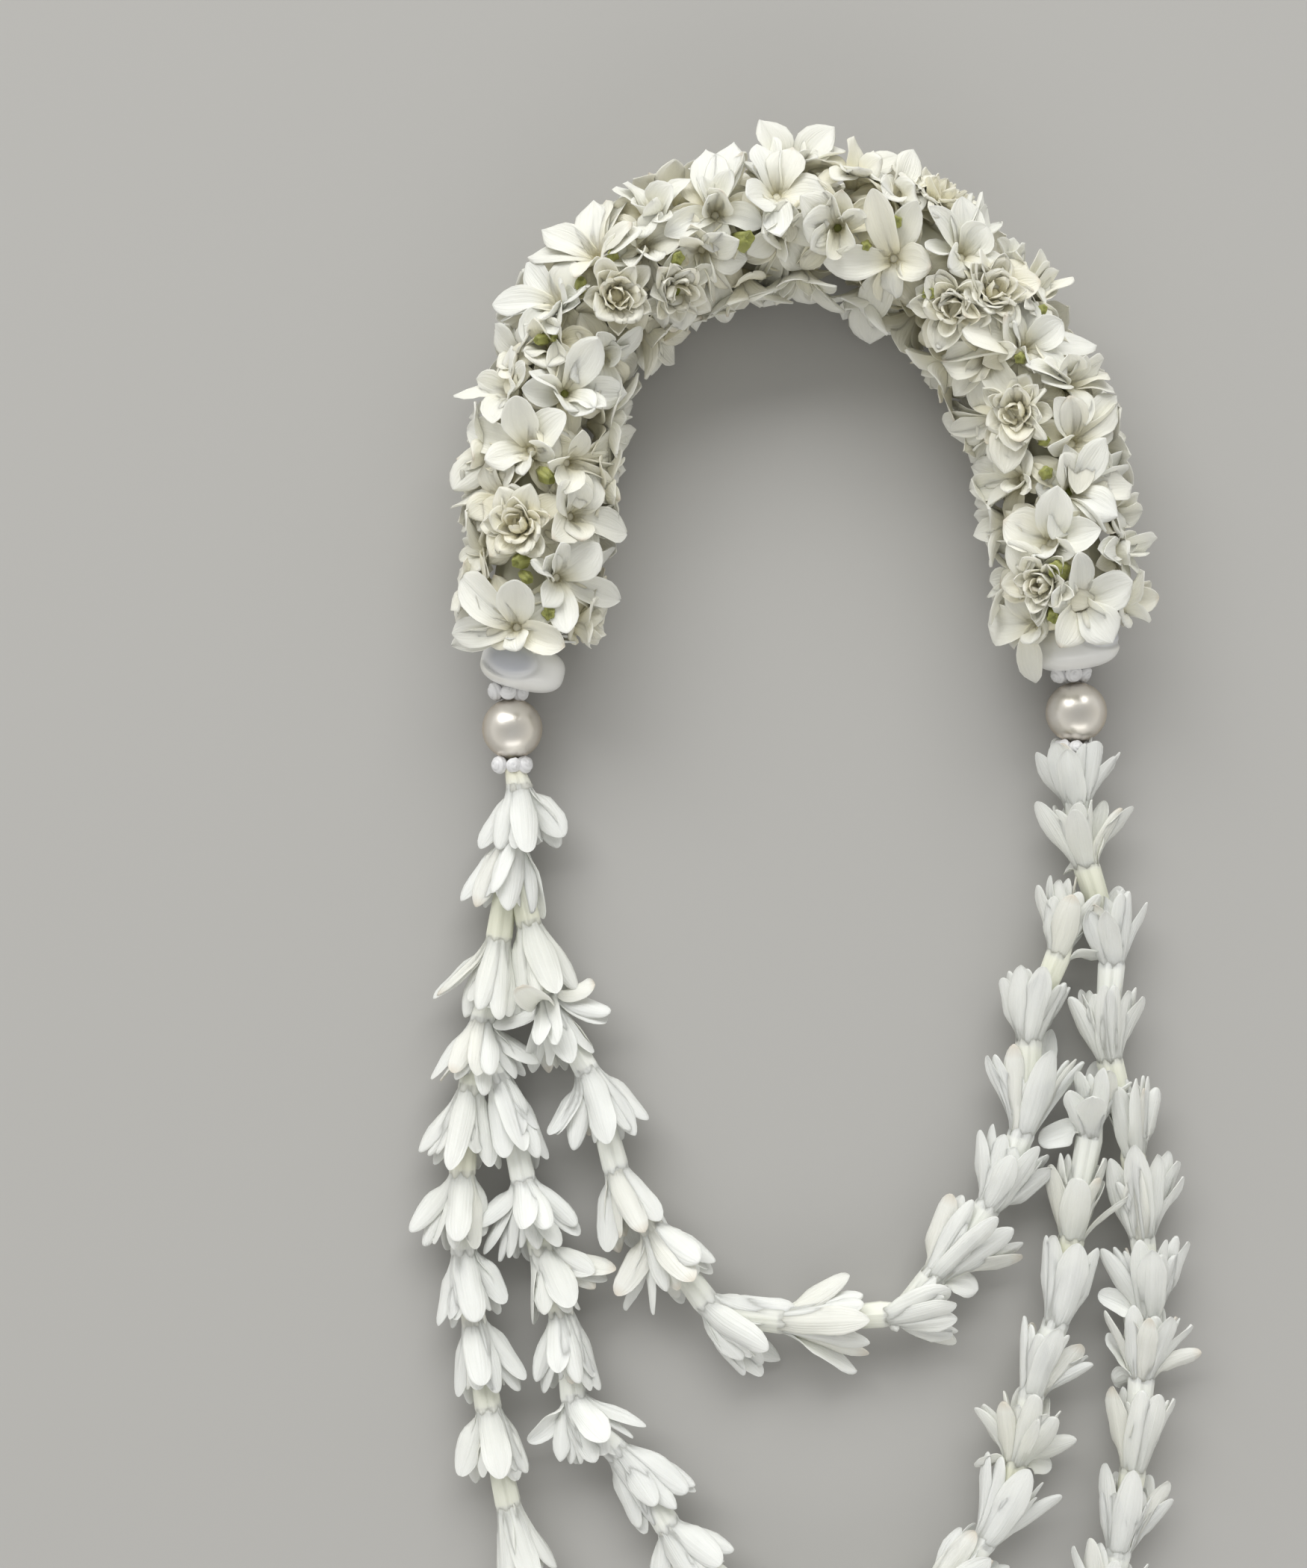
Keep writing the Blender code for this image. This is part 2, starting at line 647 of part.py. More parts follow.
def make_garland(line):
    mouths = garland_mouths(line)
    axes = [(place, place + facing_of(place, line[index]) * 0.02) for place, index, _ in mouths]
    made = []
    last_index = len(line) - 1
    for number in range(GARLAND_PARTS):
        start = round(last_index * number / GARLAND_PARTS)
        end = round(last_index * (number + 1) / GARLAND_PARTS)
        first_tangent = tangent_at(line, start)
        last_tangent = tangent_at(line, end)
        first = line[start] + first_tangent * CLEARANCE / 2
        last = line[end] - last_tangent * CLEARANCE / 2
        bm = bmesh.new()
        middle = (start + end) // 2
        frames = [frame_at(first, first_tangent),
                  frame_at(line[middle], tangent_at(line, middle)),
                  frame_at(last, last_tangent)]
        cap = stub(bm, frames[0], CORE_RADIUS, frames[1], CORE_RADIUS, CORE_SIDES)
        grow(bm, cap, frames[1], frames[2])
        bodies = [mesh_object("core", bm, petal_material)]
        for (place, index, kind), axis in zip(mouths, axes):
            if start <= index < end or (number == GARLAND_PARTS - 1 and index == end):
                near = [other for other in axes
                        if other is not axis and (other[0] - place).length < 0.035]
                is_free = garland_room(line, axis, near)
                margin = COLLAR_RADIUS + SLAB_MARGIN
                short = margin - (place - first).dot(first_tangent)
                long = margin - (last - place).dot(last_tangent)
                # A bloom too near to an end of its stretch of core moves in.
                shift = first_tangent * max(0, short) - last_tangent * max(0, long)
                bodies.append(add_garland_bloom(place + shift, line[index] + shift, kind, is_free))
        piece = fuse(f"garland_{number + 1}", bodies)
        boolean(piece, "DIFFERENCE", floor_cutter, "MANIFOLD")
        apply_modifiers(piece)
        made.append(piece)
    return made


# Ornaments

def make_pearl(name, place):
    bm = bmesh.new()
    turn = Matrix.Rotation(math.pi / 2, 4, "X")
    bmesh.ops.create_uvsphere(bm, u_segments=12, v_segments=7, radius=PEARL_RADIUS,
                              matrix=Matrix.Translation(place) @ turn)
    return mesh_object(name, bm, pearl_material)


def make_ring(name, place):
    # Small shells side by side in a ring round the thread.
    beads = []
    for number in range(BEAD_COUNT):
        angle = math.tau * (number + 0.5) / BEAD_COUNT
        centre = place + Vector((math.cos(angle), 0, math.sin(angle))) * RING_RADIUS
        bm = bmesh.new()
        turn = Matrix.Rotation(math.pi / 2, 4, "X") @ Matrix.Rotation(math.pi / 2 - angle, 4, "Z")
        squeeze = Matrix.Diagonal((1, 1, BEAD_LENGTH / 2 / BEAD_RADIUS, 1))
        bmesh.ops.create_uvsphere(bm, u_segments=6, v_segments=3, radius=BEAD_RADIUS,
                                  matrix=Matrix.Translation(centre) @ turn @ squeeze)
        beads.append(mesh_object("bead", bm, bead_material))
    return fuse(name, beads)


def make_shell(name, place, turn, dish_side):
    # A rounded shell with a dished mouth between its lip and its back.
    bm = bmesh.new()
    half = SHELL_SIZE / 2
    pose = Matrix.Translation(place) @ Matrix.Rotation(math.radians(turn), 4, "Z")
    bmesh.ops.create_uvsphere(bm, u_segments=10, v_segments=7, radius=1,
                              matrix=pose @ Matrix.Diagonal((*half, 1)))
    shell = mesh_object(name, bm, shell_material)
    bm = bmesh.new()
    dish_at = Vector((dish_side * half.x * 0.30, half.y * 0.1, half.z * 1.05))
    dish_size = (half.x * 0.55, half.y * 0.6, half.z * 0.4)
    bmesh.ops.create_uvsphere(bm, u_segments=8, v_segments=5, radius=1,
                              matrix=pose @ Matrix.Translation(dish_at)
                              @ Matrix.Diagonal((*dish_size, 1)))
    dish = mesh_object("dish", bm, None)
    boolean(shell, "DIFFERENCE", dish)
    apply_modifiers(shell)
    bpy.data.objects.remove(dish)
    return shell


for old in list(bpy.data.objects):
    bpy.data.objects.remove(old)
lei = bpy.data.collections.new("lei")
cutters = bpy.data.collections.new("cutters")
bpy.context.scene.collection.children.link(lei)
bpy.context.scene.collection.children.link(cutters)

petal_material = material("petal", (0.86, 0.84, 0.76), 0.45)
pearl_material = material("pearl", (0.74, 0.70, 0.64), 0.18, 0.8)
shell_material = material("shell", (0.72, 0.73, 0.72), 0.28, 0.3)
bead_material = material("bead_shell", (0.80, 0.80, 0.80), 0.30, 0.3)
thread_material = material("thread", (0.80, 0.80, 0.76), 0.55)

bm = bmesh.new()
bmesh.ops.create_cube(bm, size=1, matrix=Matrix.Translation((0, 0, -0.05))
                      @ Matrix.Diagonal((0.7, 0.7, 0.1, 1)))
floor_cutter = mesh_object("floor_cutter", bm, None)
floor_cutter.hide_render = True
floor_cutter.display_type = "WIRE"
lei.objects.unlink(floor_cutter)
cutters.objects.link(floor_cutter)

garland_axis = garland_line()
blooms = string_blooms()
loops = make_loops(blooms)
garland = make_garland(garland_axis)

left_places = [spot(*LEFT_SHELL, SHELL_HEIGHT)]
left_places += [spot(*place, ORNAMENT_HEIGHT) for place in (LEFT_RINGS[0], LEFT_PEARL, LEFT_RINGS[1])]
right_places = [spot(*RIGHT_SHELL, SHELL_HEIGHT)]
right_places += [spot(*place, ORNAMENT_HEIGHT)
                 for place in (RIGHT_RINGS[0], RIGHT_PEARL, RIGHT_RINGS[1])]
ornaments = []
for side, places, dish_side in (("left", left_places, -1), ("right", right_places, 1)):
    ornaments.append(make_shell(f"{side}_shell", places[0], SHELL_TURN[side], dish_side))
    ornaments.append(make_ring(f"{side}_upper_ring", places[1]))
    ornaments.append(make_pearl(f"{side}_pearl", places[2]))
    ornaments.append(make_ring(f"{side}_lower_ring", places[3]))

outer = [blooms[OUTER, index].mouth for index in range(len(OUTER_LOOP))]
middle = [blooms[MIDDLE, index].mouth for index in range(len(MIDDLE_LOOP))]
inner = [blooms[INNER, index].mouth for index in range(len(INNER_LOOP))]
main_route = [outer[1], outer[0]] + left_places[::-1] + garland_axis[::THREAD_STEP] + right_places
main_route += [outer[-1], outer[-2]]
middle_route = [outer[LOOP_ENDS[MIDDLE][0]]] + middle + [outer[LOOP_ENDS[MIDDLE][1]]]
inner_route = [outer[LOOP_ENDS[INNER][0]]] + inner + [outer[LOOP_ENDS[INNER][1]]]
routes = {
    "main_thread": shortened(main_route, THREAD_START),
    "outer_thread": shortened(outer[1:-1], THREAD_START),
    "middle_thread": shortened(middle_route, BRANCH_START),
    "inner_thread": shortened(inner_route, BRANCH_START),
}
bores = []
for name, route in routes.items():
    bores.append(bore_cutter(name + "_bore", route))
bore_all(loops + garland + ornaments, bores)
for name, route in routes.items():
    thread(name, route)
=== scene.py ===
import math
import random

import bpy
import numpy as np
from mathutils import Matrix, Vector


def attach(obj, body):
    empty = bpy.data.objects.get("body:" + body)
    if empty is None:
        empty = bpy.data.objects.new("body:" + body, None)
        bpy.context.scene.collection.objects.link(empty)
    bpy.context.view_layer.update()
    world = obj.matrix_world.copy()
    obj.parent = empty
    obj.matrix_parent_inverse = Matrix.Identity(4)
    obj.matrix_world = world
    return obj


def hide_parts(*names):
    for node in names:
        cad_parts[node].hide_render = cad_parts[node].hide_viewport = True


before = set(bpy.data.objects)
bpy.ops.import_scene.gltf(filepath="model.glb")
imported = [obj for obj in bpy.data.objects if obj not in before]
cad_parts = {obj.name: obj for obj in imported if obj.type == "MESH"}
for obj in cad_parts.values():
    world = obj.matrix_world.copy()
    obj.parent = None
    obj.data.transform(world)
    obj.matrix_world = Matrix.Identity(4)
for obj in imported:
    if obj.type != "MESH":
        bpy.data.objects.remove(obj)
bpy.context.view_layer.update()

# How the photo sees the lei: pixel places are in its 1750 x 2100 frame
sight = {
    "eye": (-0.04144, 0.05669, 0.600),
    "centrePixel": (875, 1050),
    "metresPerPixel": 0.0002,      # at the height of the loops' thread
    "loopHeight": 0.0095,
    "framePixels": 1750,
}


def spot(pixelX, pixelY, height):
    eye = sight["eye"]
    scale = sight["metresPerPixel"] * (eye[2] - height) / (eye[2] - sight["loopHeight"])
    return np.array((eye[0] + (pixelX - sight["centrePixel"][0]) * scale,
                     eye[1] + (sight["centrePixel"][1] - pixelY) * scale, height))


def unit(vector):
    return vector / max(1e-9, np.linalg.norm(vector))


def across(vector, way):
    # the part of a vector that is square to a direction
    return vector - way * np.dot(vector, way)


def ease(share):
    share = np.clip(share, 0, 1)
    return share * share * (3 - 2 * share)


def axesAt(forward):
    # two directions square to the forward one, the first as near upright as it can be
    side = np.cross(forward, (0, 0, 1))
    if np.linalg.norm(side) < 0.05:
        side = np.cross(forward, (0, 1, 0))
    side = unit(side)
    return np.cross(side, forward), side


def around(up, side, turn):
    return up * math.cos(turn) + side * math.sin(turn)


def draw(luck, spans):
    return [luck.uniform(*span) for span in spans]


def turnsRound(luck, count, stray):
    # directions evenly round a circle from a random one on, each a little astray
    first = luck.random() * math.tau
    for number in range(count):
        yield first + math.tau * (number + luck.uniform(-stray, stray)) / count


def nearestIndex(line, place):
    return int(np.argmin(np.linalg.norm(line - place, axis=1)))


def smoothCurve(points, step):
    padded = [points[0] * 2 - points[1]] + list(points) + [points[-1] * 2 - points[-2]]
    fine = []
    for before, start, end, after in zip(padded, padded[1:], padded[2:], padded[3:]):
        count = max(2, round(np.linalg.norm(end - start) / 0.001))
        for index in range(count):
            t = index / count
            fine.append(0.5 * (2 * start + (end - before) * t
                               + (2 * before - 5 * start + 4 * end - after) * t ** 2
                               + (3 * start - before - 3 * end + after) * t ** 3))
    fine.append(points[-1])
    fine = np.array(fine)
    lengths = np.concatenate([[0], np.cumsum(np.linalg.norm(np.diff(fine, axis=0), axis=1))])
    wanted = np.linspace(0, lengths[-1], round(lengths[-1] / step) + 1)
    return np.stack([np.interp(wanted, lengths, fine[:, axis]) for axis in range(3)], axis=1)


# Every body is gathered here first, then each node's bodies become one mesh

class Heap:
    def __init__(self):
        self.points = []
        self.faces = []
        self.marks = []
        self.count = 0

    def add(self, points, faces, marks):
        self.faces += [tuple(corner + self.count for corner in face) for face in faces]
        self.points.append(points)
        self.marks.append(marks)
        self.count += len(points)

    def build(self, name, material):
        mesh = bpy.data.meshes.new(name)
        mesh.from_pydata(np.concatenate(self.points).tolist(), [], self.faces)
        mesh.polygons.foreach_set("use_smooth", [True] * len(mesh.polygons))
        layer = mesh.attributes.new("petalMap", "FLOAT_COLOR", "POINT")
        layer.data.foreach_set("color", np.concatenate(self.marks).astype(np.float32).ravel())
        mesh.materials.append(material)
        piece = bpy.data.objects.new(name, mesh)
        bpy.context.scene.collection.objects.link(piece)
        return piece


def cappedFaces(rows, cols):
    # faces of a grid that closes round, with one more point beyond each end
    faces = []
    for i in range(rows - 1):
        for j in range(cols):
            k = (j + 1) % cols
            faces.append((i * cols + j, (i + 1) * cols + j, (i + 1) * cols + k, i * cols + k))
    total = rows * cols
    for j in range(cols):
        k = (j + 1) % cols
        faces.append((total, j, k))
        faces.append((total + 1, total - cols + k, total - cols + j))
    return faces


def widestGap(turns):
    # the widest gap between some directions, and where it starts
    ordered = sorted(turn % math.tau for turn in turns)
    return max(((b - a) % math.tau or math.tau, a) for a, b in zip(ordered, ordered[1:] + ordered[:1]))


# A petal: a closed blade along a curved spine, cupped across, thick in the middle, thin at its rim
petalGrid = {
    "across": np.array([-1, -0.965, -0.80, -0.44, 0, 0.44, 0.80, 0.965, 1]),
    "along": np.concatenate([np.linspace(0, 0.56, 7),
                             0.56 + 0.44 * np.sin(np.radians([20, 38, 54, 67, 79]))]),
    "widest": 0.56,
}
petalShape = {
    "thickness": 0.00027,      # half of it, at the middle
    "crease": 0.00042,         # the valley along the middle
    "folds": 0.00018,          # soft folds along the petal
    "ruffle": 0.00038,         # waves of the rim
    "floorGap": 0.0003,
    "floorSoft": 0.0014,       # petals lower than this are pressed softly by the surface
}


def petalFaces():
    rows = len(petalGrid["along"])
    cols = len(petalGrid["across"])
    tip = rows * cols + rows * (cols - 2)

    def top(i, j):
        return i * cols + j

    def under(i, j):
        if j in (0, cols - 1):
            return top(i, j)
        return rows * cols + i * (cols - 2) + j - 1

    faces = []
    for i in range(rows - 1):
        for j in range(cols - 1):
            faces.append((top(i, j), top(i, j + 1), top(i + 1, j + 1), top(i + 1, j)))
            faces.append((under(i, j), under(i + 1, j), under(i + 1, j + 1), under(i, j + 1)))
    for j in range(cols - 1):
        faces.append((top(rows - 1, j), top(rows - 1, j + 1), tip))
        faces.append((under(rows - 1, j + 1), under(rows - 1, j), tip))
        rim = [top(0, j + 1), top(0, j), under(0, j), under(0, j + 1)]
        faces.append(tuple(dict.fromkeys(rim)))
    return faces


petalFaceList = petalFaces()


def press(points):
    # what would reach below the surface lies on it instead
    low = points[:, 2] < petalShape["floorSoft"]
    room = petalShape["floorSoft"] - petalShape["floorGap"]
    points[low, 2] = petalShape["floorGap"] + room * np.exp((points[low, 2] - petalShape["floorSoft"]) / room)
    return points


def spreadOf(straight, facing):
    return math.acos(min(1, max(-1, np.dot(straight, facing))))


def rolledFace(straight, facing, outward, share, hidden=-0.15):
    # a petal's inner side, rolled about its length until this share of its width is seen from above;
    # it turns down where its natural side is lower than hidden
    spread = spreadOf(straight, facing)
    natural = facing * math.sin(spread) - outward * math.cos(spread)
    if abs(straight[2]) > 0.85:
        return natural
    flat = unit(across(np.array((0, 0, 1.0)), straight))
    edge = np.cross(straight, flat)
    if np.dot(edge, natural) < 0:
        edge = -edge
    if np.dot(flat, natural) < hidden:
        flat = -flat
    return flat * share + edge * math.sqrt(1 - share ** 2)


def petal(heap, luck, spine, inward, width, baseWidth, cup, kind, tipPower=1.0, twist=0.0, roll=0.0,
          whiteFrom=0.0, fullFrom=None, face=None):
    t = petalGrid["along"]
    p0, p1, p2, p3 = spine

    def place(t):
        t = t[:, None]
        return (p0 * (1 - t) ** 3 + p1 * 3 * t * (1 - t) ** 2 + p2 * 3 * t ** 2 * (1 - t) + p3 * t ** 3)

    def way(t):
        t = t[:, None]
        slope = (p1 - p0) * (1 - t) ** 2 + (p2 - p1) * 2 * t * (1 - t) + (p3 - p2) * t ** 2
        return slope / np.maximum(1e-9, np.linalg.norm(slope, axis=1, keepdims=True))

    centre = place(t)
    tangent = way(t)
    normals = []
    normal = inward
    for row in tangent:
        normal = unit(across(normal, row))
        normals.append(normal)
    normal = np.array(normals)
    if face is not None:
        share = ease(t / 0.5)[:, None]
        normal = np.array([unit(across(row, along))
                           for row, along in zip(normal * (1 - share) + face * share, tangent)])
    side = np.cross(tangent, normal)
    turn = twist * ease(t)[:, None]
    normal, side = (normal * np.cos(turn) + side * np.sin(turn), side * np.cos(turn) - normal * np.sin(turn))

    widest = petalGrid["widest"]
    body = baseWidth + (width / 2 - baseWidth) * ease(t / (fullFrom or widest))
    end = np.clip((t - widest) / (1 - widest), 0, 1)
    half = np.where(t <= widest, body, width / 2 * (1 - end ** 2.2) ** (0.5 * tipPower))
    bend = cup[0] + (cup[1] - cup[0]) * ease(t / 0.8)
    v = petalGrid["across"]
    angle = np.clip(v[None, :] * half[:, None] / bend[:, None], -1.9, 1.9)
    middle = (centre[:, None, :] + normal[:, None, :] * (bend[:, None] * (1 - np.cos(angle)))[..., None]
              + side[:, None, :] * (bend[:, None] * np.sin(angle))[..., None])
    up = normal[:, None, :] * np.cos(angle)[..., None] - side[:, None, :] * np.sin(angle)[..., None]

    swell = np.sin(np.pi * np.clip(t * 0.95 + 0.05, 0, 1))[:, None]
    phase = luck.random() * 6.28
    offset = -petalShape["crease"] * swell * np.exp(-(v / 0.22) ** 2)[None, :]
    offset = offset + petalShape["folds"] * swell * np.cos(v * (5.5 + luck.random() * 2) + phase)[None, :]
    wave = np.sin(t * (7 + 5 * luck.random()) + phase)[:, None] * ease(t / 0.5)[:, None]
    tilt = np.sin(t * 4 + phase * 2)[:, None] * np.sign(v)[None, :]
    rim = (np.abs(v) ** 3)[None, :]
    offset = offset + petalShape["ruffle"] * (wave + tilt * 0.7) * rim * (half / (width / 2))[:, None]
    offset = offset + roll * (np.abs(v) ** 4)[None, :] * ease(t / 0.7)[:, None]
    middle = middle + up * offset[..., None]

    thick = petalShape["thickness"] * np.sqrt(1 - np.abs(v) ** 3.2)[None, :] * (1 - 0.35 * t)[:, None]
    if whiteFrom:
        thick = thick * (0.15 + 0.85 * ease(t / 0.3))[:, None]
    top = middle + up * thick[..., None]
    under = middle - up * thick[..., None]
    tipPlace = p3 + normal[-1] * offset[-1].mean()
    points = np.concatenate([top.reshape(-1, 3), under[:, 1:-1].reshape(-1, 3), tipPlace[None, :]])
    u = np.repeat(t[:, None], len(v), axis=1)
    w = np.repeat(((v + 1) / 2)[None, :], len(t), axis=0)
    chance = luck.random()
    marks = np.zeros((len(points), 4))
    marks[:, 0] = whiteFrom + (1 - whiteFrom) * np.concatenate([u.ravel(), u[:, 1:-1].ravel(), [1]])
    marks[:, 1] = np.concatenate([w.ravel(), w[:, 1:-1].ravel(), [0.5]])
    marks[:, 2] = chance
    marks[:, 3] = kind
    heap.add(press(points), petalFaceList, marks)


def tube(heap, luck, places, radii, kind, sides=15, lobes=5, ridge=0.05, marksFrom=0.0, marksTo=1.0,
         hollow=0.0):
    # a closed tube with soft lengthwise ridges
    places = np.array(places)
    ways = np.gradient(places, axis=0)
    phase = luck.random() * 6.28
    up, _ = axesAt(unit(ways[0]))
    rings = []
    for place, way, radius in zip(places, ways, radii):
        way = unit(way)
        up = unit(across(up, way))
        side = np.cross(way, up)
        angles = np.linspace(0, 2 * math.pi, sides, endpoint=False)
        reach = radius * (1 + ridge * np.cos(angles * lobes + phase))
        rings.append(place + up * (reach * np.cos(angles))[:, None]
                     + side * (reach * np.sin(angles))[:, None])
    count = len(rings)
    points = np.concatenate(rings + [places[:1], places[-1:] - unit(ways[-1]) * hollow])
    faces = [face[:1] + face[:0:-1] for face in cappedFaces(count, sides)]      # turned to face out
    marks = np.zeros((len(points), 4))
    along = np.linspace(marksFrom, marksTo, count)
    marks[:, 0] = np.concatenate([np.repeat(along, sides), [marksFrom, marksTo]])
    marks[:, 1] = np.concatenate([np.tile(np.linspace(0, 1, sides), count), [0.5, 0.5]])
    marks[:, 2] = luck.random()
    marks[:, 3] = kind
    heap.add(press(points), faces, marks)


# The loops of strung blooms

# Mouth of each bloom in the order of its string, and how far its petals open, in degrees
loops = {
    "outer": [
        (697, 1062, 30), (685, 1140, 32), (665, 1278, 46), (643, 1385, 62), (628, 1475, 36),
        (617, 1590, 34), (622, 1695, 32), (638, 1788, 30), (657, 1905, 34), (685, 2035, 32),
        (722, 2142, 32), (775, 2245, 30), (845, 2330, 34), (935, 2395, 30), (1040, 2430, 32),
        (1150, 2430, 30), (1260, 2405, 34), (1355, 2345, 30), (1430, 2255, 32), (1478, 2158, 32),
        (1502, 2060, 32), (1520, 1950, 30), (1530, 1825, 52), (1540, 1745, 32), (1527, 1640, 32),
        (1515, 1530, 34), (1480, 1400, 34), (1490, 1270, 34), (1448, 1140, 44), (1440, 1060, 26),
    ],
    "middle": [
        (675, 1460, 32), (705, 1600, 46), (730, 1690, 34), (757, 1775, 30), (770, 1890, 44),
        (838, 1955, 30), (905, 2060, 34), (985, 2135, 30), (1095, 2170, 32), (1195, 2165, 30),
        (1265, 2125, 32), (1330, 2050, 32), (1365, 1940, 60), (1385, 1850, 32), (1420, 1755, 30),
        (1437, 1640, 34), (1463, 1500, 62),
    ],
    "inner": [
        (712, 1255, 34), (740, 1352, 66), (795, 1450, 30), (830, 1585, 32), (882, 1658, 50),
        (957, 1760, 32), (1065, 1770, 34), (1205, 1758, 34), (1262, 1695, 30), (1335, 1600, 32),
        (1375, 1500, 32), (1378, 1375, 32), (1425, 1260, 32),
    ],
}
stringStart = (690, 1035)

